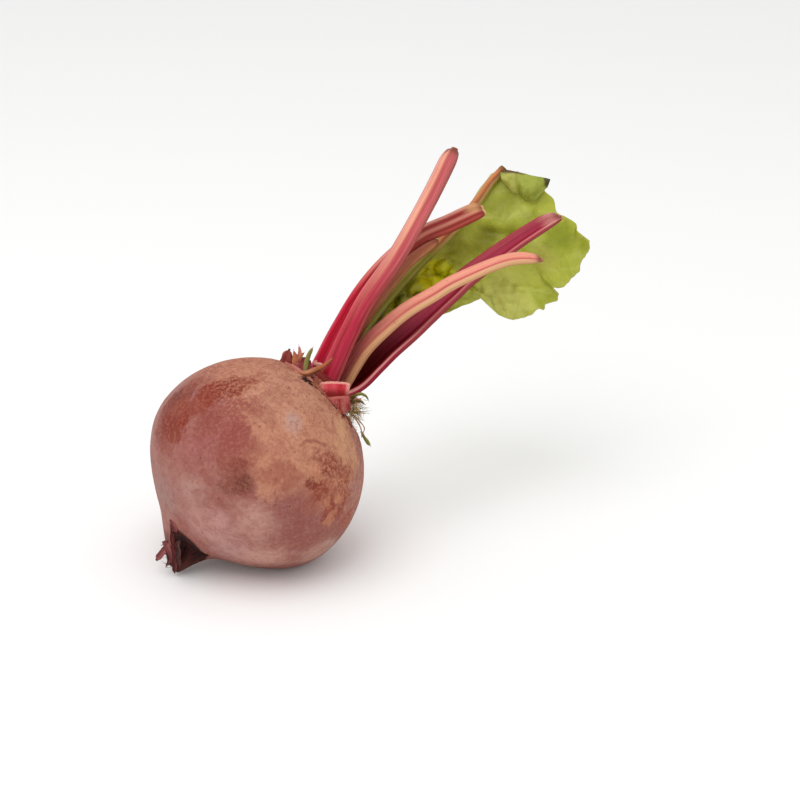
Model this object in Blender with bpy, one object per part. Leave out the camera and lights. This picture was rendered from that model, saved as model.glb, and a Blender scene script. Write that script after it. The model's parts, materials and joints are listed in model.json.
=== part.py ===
"""A fresh beetroot as pulled and trimmed: a globe root with its tail, a crown of cut leaf bases, five cut
leaf stalks and one leaf that keeps the lower part of its blade. It lies tilted on a small flat spot.

Lengths below are in millimetres and angles in degrees. The origin is the centre of the flat spot on the
surface that the root lies on, with +Z up. +X runs to the side that the stalks point to and +Y to the back.
"""

import math

import bmesh
import bpy
import numpy as np
from mathutils import Matrix, Vector

MM = 0.001  # metres in a millimetre
GAP = 0.35  # clearance between pieces that press on each other
SHARP_EDGE = 40.0  # edges that turn by more than this are shaded as corners

SKIN_COLOUR = (0.36, 0.13, 0.10)
FLESH_COLOUR = (0.35, 0.03, 0.04)
STALK_COLOUR = (0.62, 0.10, 0.12)
LEAF_COLOUR = (0.38, 0.42, 0.08)

# The root
ROOT_CENTRE = Vector((-4.0, -2.5, 35.6))
CROWN_TILT = 52.0  # how far the root's axis leans from upright
CROWN_HEADING = 30.0  # which way it leans, from +X towards +Y
# Distance from the root's centre to its skin, by the angle from the crown
SKIN_ANGLES = [0, 12, 23, 35, 50, 70, 85, 100, 110, 123, 135, 150, 165, 180]
SKIN_RADII = [33.0, 33.7, 35.8, 36.8, 37.5, 38.4, 39.2, 39.7, 39.5, 38.4, 37.2, 36.2, 35.6, 35.2]
NECK_RADIUS = 10.4
NECK_HEIGHT = 35.6  # of the neck's top above the root's centre, along the axis
NECK_WITHIN = 30.0  # the neck lies within this angle of the axis
TAIL_LEAN = 8.5  # the tail droops from the axis, towards the surface
TAIL_LEAN_STARTS = 110.0
TAIL_LEAN_ENDS = 170.0
TAIL_LENGTH = 12.6
TAIL_SPREAD = 11.5  # half angle over which the tail swells from the root
TAIL_SKEW = 4.5  # the swelling is this much wider on the tail's upper side
UPPER_SIDE = 144.0  # side angle of the flank that faces up
TAIL_SHARPNESS = 1.3  # 1 is a pointed tail, 2 a rounded one
CREASE_DEPTH = 2.2  # fold beside the tail
CREASE_ANGLE = 15.0
CREASE_WIDTH = 4.0
CREASE_SIDE = -88.0
ROOT_SEGMENTS = 40
ROOT_RINGS = 34
RING_CROWDING = 17.0  # rings crowd towards the neck and the tail, where the shape turns quickly

# Side roots, torn short: where each starts and ends, and its radius at both
ROOTLETS = [
    ((-28.0, -15.5, 8.0), (-39.0, -20.0, 6.3), 1.9, 1.0),
    ((-28.5, -16.0, 6.5), (-36.0, -20.5, 3.6), 1.5, 0.8),
    ((-29.0, -16.5, 5.0), (-33.2, -20.0, 1.6), 1.7, 0.8),
    ((-29.0, -15.5, 6.0), (-36.0, -13.5, 3.4), 1.4, 0.7),
    ((-27.0, -12.0, 8.0), (-31.0, -8.5, 4.4), 1.3, 0.7),
]
ROOTLET_SIDES = 6

# The crown, in its own frame: z along the root's axis from the top of the neck, x towards the surface.
# Its profile gives radius and height.
CROWN_PROFILE = [(9.6, -1.5), (9.9, 1.0), (9.4, 2.0), (7.4, 2.9), (4.0, 3.5)]
CROWN_TOP = 3.7
CROWN_LOBES = 7
CROWN_LOBE_HEIGHT = 0.05  # as a share of the radius
CROWN_SEGMENTS = 42
# Cut leaf bases round the crown: side angle, distance out, lean outwards, width, thickness, height
STUBS = [
    (-112.0, 6.9, 30.0, 8.6, 3.2, 6.6),
    (-66.0, 8.0, 52.0, 7.0, 3.0, 5.6),
    (-10.0, 8.2, 38.0, 7.4, 2.8, 5.0),
    (32.0, 7.6, 34.0, 6.6, 2.6, 6.2),
    (172.0, 8.2, 46.0, 6.4, 2.4, 3.4),
]
STUB_BASE = 1.2  # height on the crown that a stub's own height is counted from
STUB_SINK = 2.6  # how deep a stub's root is sunk below that
STUB_CHANNEL = 0.25
STUB_TAPER = 0.12  # a stub narrows by this share to its cut end

# Leaf stalks: points along each from the crown to the cut, the way its channel faces, its width and
# thickness at the crown and at the cut, the depth of the channel as a share of the thickness, and the
# slant of the cut
STALKS = {
    "stalk_tall": {
        "route": [
            (19.6, 9.8, 60.0), (27.0, 15.5, 75.5), (34.0, 21.5, 88.0),
            (45.0, 29.0, 102.5), (56.0, 38.0, 120.0), (65.0, 46.8, 136.2),
        ],
        "faces": (0.75, 0.6, -0.2),
        "width": (8.6, 6.8),
        "thickness": (4.6, 5.2),
        "channel": 0.30,
        "slant": 0.55,
    },
    "stalk_bent": {
        "route": [
            (16.4, 18.0, 60.5), (23.5, 24.5, 73.5), (31.0, 31.0, 85.0), (37.5, 35.5, 92.5),
            (44.5, 39.0, 98.8), (53.0, 42.5, 104.7), (64.5, 46.0, 109.0), (75.5, 49.5, 113.3),
        ],
        "faces": (0.35, -0.75, 0.45),
        "width": (6.6, 4.9),
        "thickness": (4.4, 4.4),
        "channel": 0.34,
        "slant": 0.1,
    },
    "stalk_pale": {
        "route": [
            (25.0, 15.4, 58.5), (33.0, 18.0, 70.5), (41.5, 20.0, 78.7), (49.0, 21.0, 84.7),
            (58.0, 22.0, 90.0), (66.5, 22.8, 95.0), (83.5, 25.2, 101.5), (96.0, 25.7, 102.5),
        ],
        "faces": (-0.35, -0.65, 0.65),
        "width": (7.2, 4.4),
        "thickness": (4.0, 3.2),
        "channel": 0.22,
        "slant": -0.2,
    },
    "stalk_crimson": {
        "route": [
            (28.0, 17.6, 57.0), (31.6, 19.4, 59.6), (37.2, 22.2, 63.9), (42.9, 25.2, 68.6),
            (50.4, 29.0, 74.0), (57.9, 32.8, 80.0), (65.4, 36.3, 86.0), (72.2, 39.4, 91.3),
            (87.6, 44.6, 101.6), (103.3, 49.4, 110.7),
        ],
        "faces": (-0.45, -0.7, 0.55),
        "width": (12.0, 5.8),
        "thickness": (5.0, 4.2),
        "channel": 0.52,
        "slant": 0.15,
    },
    "stalk_slim": {
        "route": [
            (22.7, 18.6, 60.3), (31.0, 24.3, 73.4), (39.8, 29.7, 85.1),
            (49.2, 34.8, 95.5), (60.0, 39.4, 104.6),
        ],
        "faces": (0.3, -0.8, 0.3),
        "width": (3.6, 3.0),
        "thickness": (2.8, 2.6),
        "channel": 0.3,
        "slant": 0.2,
    },
}
STALK_SIDES = 16
STALK_RINGS = 15
BASE_FLARE = 0.12  # a stalk is wider by this share where it leaves the crown
FLARE_LENGTH = 9.0
CHANNEL_REACH = 0.24  # half width of the channel, as a share of the stalk's width
SHOULDER_FLATNESS = 0.6  # 1 is a round stalk, less is squarer beside the channel

# The leaf that keeps part of its blade
LEAF_RIB = {
    "route": [
        (21.9, 22.6, 59.2), (31.5, 33.0, 71.3), (41.0, 41.7, 81.0), (50.9, 48.7, 90.1),
        (60.0, 54.0, 98.0), (68.1, 58.1, 105.5), (74.8, 62.1, 112.7), (79.2, 64.9, 118.3),
        (84.0, 67.3, 122.9),
    ],
    "faces": (0.15, 0.85, -0.35),
    "width": (5.0, 3.0),
    "thickness": (4.2, 2.6),
    "channel": 0.12,
    "slant": 0.0,
}
BLADE_THICKNESS = 0.8
BLADE_START = 0.16  # share of the rib's length where the blade begins
BLADE_SET_BACK = 3.1  # from the rib's centre line at its foot
BLADE_SET_BACK_TOP = 2.2
# The blade's free edges from the rib's foot up, and its torn top edge from the rib outwards
EDGE_NEAR = [
    (33.0, 30.5, 67.5), (41.0, 36.5, 67.0), (51.5, 43.5, 69.5), (63.0, 49.5, 73.0), (75.0, 53.0, 77.0),
    (81.5, 52.0, 77.5), (85.5, 49.5, 73.0), (93.0, 47.5, 71.5), (99.5, 47.8, 74.5), (104.0, 50.5, 79.0),
    (109.5, 53.5, 83.5), (110.8, 56.0, 87.6), (115.6, 59.5, 93.5), (116.3, 61.0, 97.5),
]
EDGE_FAR = [
    (27.5, 35.0, 66.5), (33.6, 45.5, 67.5), (40.9, 59.0, 71.0), (49.2, 70.5, 77.0),
    (57.5, 79.0, 84.5), (65.2, 85.0, 93.0), (72.7, 88.5, 103.0), (80.5, 90.5, 114.5),
]
EDGE_TOP_NEAR = [
    (94.0, 65.5, 121.5), (101.0, 63.5, 120.0), (99.5, 63.0, 115.5),
    (103.5, 62.5, 107.0), (111.0, 62.5, 102.5), (116.3, 61.0, 97.5),
]
TORN_EDGE_PULL = 6  # how closely the torn edge's shape stays to the blade's top
BLADE_ROWS = 26
BLADE_COLUMNS_NEAR = 14
BLADE_COLUMNS_FAR = 8
RUFFLE_HEIGHT = 2.2  # waves along the free edges
RUFFLE_WAVES = 5.5
RUFFLE_SHIFT = 1.3  # the waves run out of step across the blade by this many radians
PUCKER_HEIGHT = 0.7  # dimples between the rib and the edges
PUCKER_WAVES = 4.5
PUCKER_SLANT = 5.0
FLAT_AT_RIB = 0.25  # no waves start nearer to the rib than this share of the way out


def clear_scene():
    for old in list(bpy.data.objects):
        bpy.data.objects.remove(old, do_unlink=True)


def finish(name, colour, roughness):
    """A plain coloured finish."""
    material = bpy.data.materials.new(name)
    material.use_nodes = True
    shader = material.node_tree.nodes["Principled BSDF"]
    shader.inputs["Base Color"].default_value = (*colour, 1.0)
    shader.inputs["Roughness"].default_value = roughness
    shader.inputs["Metallic"].default_value = 0.0
    return material


def as_object(name, bm, material):
    """Turns the working mesh into a named object whose faces point out."""
    bmesh.ops.recalc_face_normals(bm, faces=bm.faces)
    mesh = bpy.data.meshes.new(name)
    bm.to_mesh(mesh)
    bm.free()
    mesh.shade_smooth()
    mesh.set_sharp_from_angle(angle=math.radians(SHARP_EDGE))
    mesh.materials.append(material)
    made = bpy.data.objects.new(name, mesh)
    bpy.context.scene.collection.objects.link(made)
    return made


def smoothstep(low, high, value):
    share = min(1.0, max(0.0, (value - low) / (high - low)))
    return share * share * (3.0 - 2.0 * share)


def curve_through(a, b, c, d, t):
    """The point a share t of the way from b to c on a curve that also heeds the points a and d."""
    slow = (2 * a - 5 * b + 4 * c - d) * t**2
    fast = (3 * b - a - 3 * c + d) * t**3
    return 0.5 * (2 * b + (c - a) * t + slow + fast)


def smooth_path(points, count, steps=12):
    """Evenly spaced points on a smooth curve through the given ones."""
    knots = [Vector(p) for p in points]
    ends = [knots[0] * 2 - knots[1], *knots, knots[-1] * 2 - knots[-2]]
    fine = []
    for a, b, c, d in zip(ends, ends[1:], ends[2:], ends[3:]):
        fine.extend(curve_through(a, b, c, d, step / steps) for step in range(steps))
    fine.append(knots[-1])
    lengths = np.cumsum([0.0] + [(q - p).length for p, q in zip(fine, fine[1:])])
    wanted = np.linspace(0.0, lengths[-1], count)
    columns = [np.interp(wanted, lengths, [p[axis] for p in fine]) for axis in range(3)]
    return [Vector(p) for p in zip(*columns)]


def root_frame():
    """The root's own frame: z along its axis to the crown, x down towards the surface."""
    heading = Matrix.Rotation(math.radians(CROWN_HEADING), 4, "Z")
    tilt = Matrix.Rotation(math.radians(CROWN_TILT), 4, "Y")
    return Matrix.Translation(ROOT_CENTRE) @ heading @ tilt


def root_radius(angle, side):
    """Distance from the root's centre to its skin, at an angle from the crown and round the axis."""
    radius = float(np.interp(angle, SKIN_ANGLES, SKIN_RADII))
    from_tail = 180.0 - angle
    tail_spread = TAIL_SPREAD + TAIL_SKEW * math.cos(math.radians(side - UPPER_SIDE))
    radius += TAIL_LENGTH * math.exp(-((from_tail / tail_spread) ** TAIL_SHARPNESS))
    facing = max(0.0, math.cos(math.radians(side - CREASE_SIDE)))
    radius -= CREASE_DEPTH * facing**2 * math.exp(-(((from_tail - CREASE_ANGLE) / CREASE_WIDTH) ** 2))
    if angle < NECK_WITHIN:
        flat_top = NECK_HEIGHT / math.cos(math.radians(angle))
        wall = NECK_RADIUS / max(1e-6, math.sin(math.radians(angle)))
        radius = max(radius, min(flat_top, wall))
    return radius


def root_direction(angle, side):
    """The way out from the root's centre, in its own frame. Near the tail it droops."""
    polar, round_axis = math.radians(angle), math.radians(side)
    out = Vector((math.cos(round_axis), math.sin(round_axis), 0)) * math.sin(polar)
    direction = out + Vector((0, 0, math.cos(polar)))
    lean = TAIL_LEAN * smoothstep(TAIL_LEAN_STARTS, TAIL_LEAN_ENDS, angle)
    direction.rotate(Matrix.Rotation(math.radians(-lean), 3, "Y"))
    return direction


def make_root(skin):
    """The globe, its neck and its tail in one body, with side roots joined on and the flat spot cut."""
    bm = bmesh.new()
    bmesh.ops.create_uvsphere(bm, u_segments=ROOT_SEGMENTS, v_segments=ROOT_RINGS, radius=1.0)
    frame = root_frame()
    for vert in bm.verts:
        even = math.degrees(math.acos(max(-1.0, min(1.0, vert.co.z))))
        side = math.degrees(math.atan2(vert.co.y, vert.co.x))
        angle = even - RING_CROWDING * math.sin(math.radians(2 * even))
        vert.co = frame @ (root_direction(angle, side) * root_radius(angle, side))
    for start, end, thick, thin in ROOTLETS:
        add_rootlet(bm, Vector(start), Vector(end), thick, thin)
    root = as_object("root", bm, skin)
    join_overlaps(root)
    return cut_flat(root)


def add_rootlet(bm, start, end, thick, thin):
    """A tapered stump of a side root, whose thick end is sunk in the tail."""
    along = end - start
    turn = along.to_track_quat("Z", "Y").to_matrix().to_4x4()
    bmesh.ops.create_cone(
        bm,
        cap_ends=True,
        segments=ROOTLET_SIDES,
        radius1=thick,
        radius2=thin,
        depth=along.length,
        matrix=Matrix.Translation((start + end) / 2) @ turn,
    )


def join_overlaps(made):
    """Turns overlapping closed shapes in one mesh into one body."""
    union = made.modifiers.new("Join", "BOOLEAN")
    union.operation = "UNION"
    union.solver = "EXACT"
    union.use_self = True
    union.operand_type = "COLLECTION"
    union.collection = bpy.data.collections.new(made.name + "_nothing_else")
    apply_modifiers(made)


def apply_modifiers(made):
    """Keeps the shape that the modifiers give, and drops them."""
    graph = bpy.context.evaluated_depsgraph_get()
    result = bpy.data.meshes.new_from_object(made.evaluated_get(graph))
    made.modifiers.clear()
    made.data = result


def cut_flat(made):
    """Cuts the body flat at the surface that it lies on."""
    bm = bmesh.new()
    bm.from_mesh(made.data)
    everything = bm.verts[:] + bm.edges[:] + bm.faces[:]
    down = (0, 0, -1)
    cut = bmesh.ops.bisect_plane(bm, geom=everything, plane_co=(0, 0, 0), plane_no=down, clear_outer=True)
    rim = [item for item in cut["geom_cut"] if isinstance(item, bmesh.types.BMEdge)]
    bmesh.ops.contextual_create(bm, geom=rim)
    bmesh.ops.triangulate(bm, faces=bm.faces)
    bm.to_mesh(made.data)
    bm.free()
    return made


def crown_frame():
    """The crown's own frame, on the top of the neck."""
    return root_frame() @ Matrix.Translation((0, 0, NECK_HEIGHT))


def make_crown(flesh):
    """The low dome of grown-together leaf bases, with the stubs of cut ones joined on."""
    bm = bmesh.new()
    rings = []
    for radius, height in CROWN_PROFILE:
        ring = []
        for step in range(CROWN_SEGMENTS):
            side = 2 * math.pi * step / CROWN_SEGMENTS
            lobed = radius * (1 + CROWN_LOBE_HEIGHT * math.cos(CROWN_LOBES * side))
            ring.append(bm.verts.new((lobed * math.cos(side), lobed * math.sin(side), height)))
        rings.append(ring)
    join_rings(bm, rings)
    bm.faces.new(rings[0])
    top = bm.verts.new((0, 0, CROWN_TOP))
    for i in range(CROWN_SEGMENTS):
        bm.faces.new((rings[-1][i], rings[-1][(i + 1) % CROWN_SEGMENTS], top))
    for side, out, lean, width, thickness, height in STUBS:
        add_stub(bm, side, out, lean, width, thickness, height)
    bmesh.ops.transform(bm, matrix=crown_frame(), verts=bm.verts)
    crown = as_object("crown", bm, flesh)
    join_overlaps(crown)
    return crown


def add_stub(bm, side, out, lean, width, thickness, height):
    """A leaf base cut short: a curved strip that opens towards the middle of the crown."""
    turn = Matrix.Rotation(math.radians(side), 4, "Z")
    tip = Matrix.Rotation(math.radians(lean), 4, "Y")
    place = turn @ Matrix.Translation((out, 0, STUB_BASE)) @ tip
    rings = []
    for level in (-STUB_SINK, height * 0.5, height):
        spread = 1.0 - STUB_TAPER * level / height
        outline = stalk_section(width * spread, thickness, STUB_CHANNEL)
        # the section's channel side, +y, is turned to the crown's middle, -x
        rings.append([bm.verts.new(place @ Vector((-y, x, level))) for x, y in outline])
    join_rings(bm, rings)
    close_ends(bm, rings)


def stalk_section(width, thickness, channel):
    """The outline of a stalk cut across: round outside, with a channel on the side that faces +y."""
    outline = []
    for step in range(STALK_SIDES):
        angle = 2 * math.pi * step / STALK_SIDES
        x = 0.5 * width * math.cos(angle)
        y = 0.5 * thickness * math.sin(angle)
        if y > 0:
            middle = math.exp(-((x / (CHANNEL_REACH * width)) ** 2))
            y = 0.5 * thickness * math.sin(angle) ** SHOULDER_FLATNESS - channel * thickness * middle
        outline.append((x, y))
    return outline


def join_rings(bm, rings):
    """Joins matching rings of points with faces."""
    count = len(rings[0])
    for low, high in zip(rings, rings[1:]):
        for i in range(count):
            j = (i + 1) % count
            bm.faces.new((low[i], low[j], high[j], high[i]))


def close_ends(bm, rings):
    """Closes the first and the last ring with a flat end."""
    bm.faces.new(list(reversed(rings[0])))
    bm.faces.new(rings[-1])


def sweep_stalk(name, spec, material):
    """A channelled stalk swept along its route, a little wider at the crown and cut at its tip."""
    path = smooth_path(spec["route"], STALK_RINGS)
    faces = Vector(spec["faces"])
    length = sum((q - p).length for p, q in zip(path, path[1:]))
    bm = bmesh.new()
    rings = []
    for step, centre in enumerate(path):
        before, after = path[max(0, step - 1)], path[min(STALK_RINGS - 1, step + 1)]
        tangent = (after - before).normalized()
        normal = (faces - tangent * faces.dot(tangent)).normalized()
        across = normal.cross(tangent)
        share = step / (STALK_RINGS - 1)
        flare = 1.0 + BASE_FLARE * math.exp(-share * length / FLARE_LENGTH)
        width = flare * (spec["width"][0] * (1 - share) + spec["width"][1] * share)
        thickness = spec["thickness"][0] * (1 - share) + spec["thickness"][1] * share
        slant = spec["slant"] if step == STALK_RINGS - 1 else 0.0
        ring = []
        for x, y in stalk_section(width, thickness, spec["channel"]):
            ring.append(bm.verts.new(centre + across * x + normal * y + tangent * (slant * y)))
        rings.append(ring)
    join_rings(bm, rings)
    close_ends(bm, rings)
    return as_object(name, bm, material)


def fatten(made, amount):
    """A copy of a piece, swollen by the amount, to cut its neighbours clear of it."""
    bm = bmesh.new()
    bm.from_mesh(made.data)
    bm.normal_update()
    moves = [(vert, vert.normal * amount * vert.calc_shell_factor()) for vert in bm.verts]
    for vert, move in moves:
        vert.co += move
    mesh = bpy.data.meshes.new(made.name + "_swollen")
    bm.to_mesh(mesh)
    bm.free()
    cutter = bpy.data.objects.new(mesh.name, mesh)
    bpy.context.scene.collection.objects.link(cutter)
    return cutter


def cut_clear(made, neighbour, amount=GAP):
    """Cuts a piece so that it stops just short of its neighbour."""
    cutter = fatten(neighbour, amount)
    cut = made.modifiers.new("Clear", "BOOLEAN")
    cut.operation = "DIFFERENCE"
    cut.solver = "EXACT"
    cut.object = cutter
    apply_modifiers(made)
    bpy.data.objects.remove(cutter, do_unlink=True)
    drop_scraps(made)


def drop_scraps(made):
    """Keeps the largest of the bodies that a cut leaves."""
    bm = bmesh.new()
    bm.from_mesh(made.data)
    waiting = set(bm.verts)
    bodies = []
    while waiting:
        body = {waiting.pop()}
        front = list(body)
        while front:
            vert = front.pop()
            linked = {edge.other_vert(vert) for edge in vert.link_edges} - body
            body |= linked
            front.extend(linked)
        waiting -= body
        bodies.append(body)
    largest = max(bodies, key=len)
    bmesh.ops.delete(bm, geom=[vert for vert in bm.verts if vert not in largest])
    bm.to_mesh(made.data)
    bm.free()


def blade_lines():
    """Where the blade meets the rib, and its edges: matching points from the rib's foot up."""
    faces = Vector(LEAF_RIB["faces"]).normalized()
    whole_rib = smooth_path(LEAF_RIB["route"], 101)
    kept = whole_rib[round(BLADE_START * 100):]
    rib = []
    for row in range(BLADE_ROWS):
        share = row / (BLADE_ROWS - 1)
        centre = kept[round(share * (len(kept) - 1))]
        rib.append(centre + faces * (BLADE_SET_BACK * (1 - share) + BLADE_SET_BACK_TOP * share))
    near = smooth_path(EDGE_NEAR, BLADE_ROWS)
    far = smooth_path(EDGE_FAR, BLADE_ROWS)
    top_near = smooth_path([rib[-1], *EDGE_TOP_NEAR], BLADE_COLUMNS_NEAR + 1)
    return rib, near, far, top_near


def blade_point(lines, row, across):
    """A point of the blade's middle surface, from -1 at the far edge to 1 at the near one."""
    rib, near, far, top_near = lines
    if across < 0:
        return rib[row].lerp(far[row], -across)
    top = top_near[round(across * BLADE_COLUMNS_NEAR)]
    up = row / (BLADE_ROWS - 1)
    return rib[row].lerp(near[row], across) + (top - rib[-1].lerp(near[-1], across)) * up**TORN_EDGE_PULL


def make_blade(material):
    """The crinkled lower part of the leaf's blade, one thin curved solid behind the rib."""
    faces = Vector(LEAF_RIB["faces"]).normalized()
    lines = blade_lines()
    shares = [-1 + i / BLADE_COLUMNS_FAR for i in range(BLADE_COLUMNS_FAR)]
    shares += [i / BLADE_COLUMNS_NEAR for i in range(BLADE_COLUMNS_NEAR + 1)]
    grid = []
    for row in range(BLADE_ROWS):
        up = row / (BLADE_ROWS - 1)
        line = []
        for across in shares:
            reach = abs(across)
            ruffle = math.sin(2 * math.pi * RUFFLE_WAVES * up + RUFFLE_SHIFT * across)
            pucker = math.sin(2 * math.pi * PUCKER_WAVES * up + PUCKER_SLANT * reach)
            lift = RUFFLE_HEIGHT * reach**2 * ruffle
            lift += PUCKER_HEIGHT * pucker * math.sin(math.pi * reach)
            line.append(blade_point(lines, row, across) + faces * lift * smoothstep(0.0, FLAT_AT_RIB, reach))
        grid.append(line)
    return thicken_grid("leaf_blade", grid, BLADE_THICKNESS, material)


def thicken_grid(name, grid, thickness, material):
    """Gives a grid of points a thickness, with both faces split into the same triangles."""
    bm = bmesh.new()
    sheet = [[bm.verts.new(p) for p in line] for line in grid]
    for low, high in zip(sheet, sheet[1:]):
        for a, b, c, d in zip(low, low[1:], high[1:], high):
            bm.faces.new((a, b, c))
            bm.faces.new((a, c, d))
    bm.normal_update()
    normals = {vert: vert.normal.copy() for vert in bm.verts}
    back = {vert: bm.verts.new(vert.co - normals[vert] * thickness / 2) for vert in normals}
    front_faces = list(bm.faces)
    for vert, normal in normals.items():
        vert.co += normal * thickness / 2
    for face in front_faces:
        bm.faces.new([back[vert] for vert in reversed(face.verts)])
    right = [line[-1] for line in sheet[1:]]
    left = [line[0] for line in reversed(sheet[1:-1])]
    rim = sheet[0] + right + list(reversed(sheet[-1][:-1])) + left
    for p, q in zip(rim, rim[1:] + rim[:1]):
        bm.faces.new((q, p, back[p]))
        bm.faces.new((q, back[p], back[q]))
    return as_object(name, bm, material)


def main():
    clear_scene()
    skin = finish("root_skin", SKIN_COLOUR, 0.55)
    flesh = finish("crown_flesh", FLESH_COLOUR, 0.45)
    stalk = finish("stalk_skin", STALK_COLOUR, 0.40)
    green = finish("leaf_green", LEAF_COLOUR, 0.50)

    root = make_root(skin)
    crown = make_crown(flesh)
    cut_clear(crown, root)
    stalks = {name: sweep_stalk(name, spec, stalk) for name, spec in STALKS.items()}
    stalks["leaf_rib"] = sweep_stalk("leaf_rib", LEAF_RIB, stalk)
    for made in stalks.values():
        cut_clear(made, crown)
    # the slim stalk is squeezed between two others where they leave the crown
    cut_clear(stalks["stalk_slim"], stalks["stalk_bent"])
    cut_clear(stalks["stalk_slim"], stalks["stalk_pale"])
    # the pale stalk rests in the open channel of the crimson one
    cut_clear(stalks["stalk_crimson"], stalks["stalk_pale"])
    cut_clear(stalks["leaf_rib"], stalks["stalk_crimson"])
    make_blade(green)
    for made in bpy.data.objects:
        made.data.transform(Matrix.Scale(MM, 4))


main()
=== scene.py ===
# %% [markdown]
# # A fresh beetroot, pulled and trimmed
#
# This lesson dresses a plain solid model of a beetroot until it looks like one on a market table: a dusty
# globe root with a torn tail, a crown of cut leaf bases, five cut stalks and the crinkled rest of one leaf.
# The solid model comes in as a fixed frame, in metres. Every main piece made here sits where its solid is,
# so it simply replaces it with a finer shape and a better finish.

# %% Load the frame
import json
import math

import bmesh
import bpy
import numpy as np
from mathutils import Matrix, Vector, noise

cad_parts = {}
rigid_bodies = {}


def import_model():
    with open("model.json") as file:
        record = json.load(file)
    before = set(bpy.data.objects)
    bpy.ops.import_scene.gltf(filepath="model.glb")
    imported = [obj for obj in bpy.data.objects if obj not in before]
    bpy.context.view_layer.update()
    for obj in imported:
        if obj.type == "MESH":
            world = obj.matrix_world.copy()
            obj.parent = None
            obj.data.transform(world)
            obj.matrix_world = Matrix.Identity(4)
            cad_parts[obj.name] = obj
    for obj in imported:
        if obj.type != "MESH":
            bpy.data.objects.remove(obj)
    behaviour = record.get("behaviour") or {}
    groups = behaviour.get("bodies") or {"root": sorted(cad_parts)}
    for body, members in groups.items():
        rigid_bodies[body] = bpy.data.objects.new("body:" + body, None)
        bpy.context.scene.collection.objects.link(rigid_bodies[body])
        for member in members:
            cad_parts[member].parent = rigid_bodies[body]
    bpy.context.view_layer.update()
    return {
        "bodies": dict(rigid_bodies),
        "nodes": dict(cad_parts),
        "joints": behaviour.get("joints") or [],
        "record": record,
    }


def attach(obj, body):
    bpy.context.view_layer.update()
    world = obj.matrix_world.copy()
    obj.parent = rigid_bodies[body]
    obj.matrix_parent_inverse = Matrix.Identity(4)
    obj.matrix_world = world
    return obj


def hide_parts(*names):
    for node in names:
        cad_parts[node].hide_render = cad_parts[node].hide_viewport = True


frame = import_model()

print("nodes in the frame:", sorted(frame["nodes"]))

# %% [markdown]
# ## Camera, light and floor
#
# A photograph's viewing angle is found by fitting the outline of the solids to it: here the camera looks
# down by 22 degrees with a long lens from about 80 cm away, which keeps the globe round. It comes first,
# because everything else is judged through it. The light is a wide soft one overhead with two weak ones, in
# front and at the right, as in a white tent, and the floor is a plain pale sheet that fades into it.

# %% Camera
MM = 0.001
CAMERA_PLACE = Vector((46.1, -721.6, 350.1)) * MM
LOOKS_DOWN = 22.0  # degrees
LENS = 100.0
SENSOR_WIDTH = 36.0
NEAREST_SEEN = 0.01


def add_object(name, data):
    """Puts a mesh, a light or a camera into the scene as an object."""
    made = bpy.data.objects.new(name, data)
    bpy.context.scene.collection.objects.link(made)
    return made


def add_camera():
    data = bpy.data.cameras.new("camera")
    data.lens = LENS
    data.sensor_width = SENSOR_WIDTH
    data.clip_start = NEAREST_SEEN
    camera = add_object("camera", data)
    camera.location = CAMERA_PLACE
    camera.rotation_euler = (math.radians(90.0 - LOOKS_DOWN), 0.0, 0.0)
    bpy.context.scene.camera = camera
    return camera


print("camera at", [round(c, 3) for c in add_camera().location])

# %% Light
LIGHTS = {
    # name: where it is, where it points, its size, its power in watts
    "overhead": ((-0.25, -0.35, 1.0), (0.0, 0.0, 0.04), 0.9, 4.6),
    "front": ((-0.5, -1.0, 0.45), (0.02, 0.0, 0.06), 0.7, 0.9),
    "right": ((0.9, -0.3, 0.5), (0.02, 0.0, 0.05), 0.6, 0.3),
}
SKY = 0.85  # brightness of the white tent all round


def add_light(name, origin, aim, size, power):
    data = bpy.data.lights.new(name, "AREA")
    data.size = size
    data.energy = power
    light = add_object(name, data)
    light.location = origin
    light.rotation_euler = (Vector(aim) - Vector(origin)).to_track_quat("-Z", "Y").to_euler()


for name, settings in LIGHTS.items():
    add_light(name, *settings)
world = bpy.data.worlds.new("tent")
world.use_nodes = True
sky = world.node_tree.nodes["Background"].inputs
sky["Color"].default_value = (1.0, 1.0, 1.0, 1.0)
sky["Strength"].default_value = SKY
bpy.context.scene.world = world
bpy.context.scene.view_settings.view_transform = "Standard"
print(len(LIGHTS), "lights")

# %% [markdown]
# ## Small helpers for node trees
#
# Materials and shapes below are both made of nodes, and a script that adds nodes one by one soon gets hard
# to read. These few helpers keep it short: each adds one node, sets or links its inputs, and hands back the
# socket that comes out, so that a tree reads like a sum.


# %% Node helpers
def place(tree, kind, settings=None, inputs=None):
    """Adds a node. An input is set to a value or linked to another node's output."""
    made = tree.nodes.new(kind)
    for name, value in (settings or {}).items():
        setattr(made, name, value)
    for name, value in (inputs or {}).items():
        if isinstance(value, bpy.types.NodeSocket):
            tree.links.new(value, made.inputs[name])
        else:
            made.inputs[name].default_value = value
    return made


def maths(tree, operation, *values, clamp=False):
    settings = {"operation": operation, "use_clamp": clamp}
    return place(tree, "ShaderNodeMath", settings, dict(enumerate(values))).outputs[0]


def plus(tree, first, second):
    return maths(tree, "ADD", first, second)


def minus(tree, first, second):
    return maths(tree, "SUBTRACT", first, second)


def times(tree, first, second):
    return maths(tree, "MULTIPLY", first, second)


def vector_maths(tree, operation, *values):
    made = place(tree, "ShaderNodeVectorMath", {"operation": operation}, dict(enumerate(values)))
    return made.outputs["Value" if operation in ("DOT_PRODUCT", "LENGTH") else "Vector"]


def scaled(tree, vector, by):
    made = place(tree, "ShaderNodeVectorMath", {"operation": "SCALE"}, {0: vector, "Scale": by})
    return made.outputs["Vector"]


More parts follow.
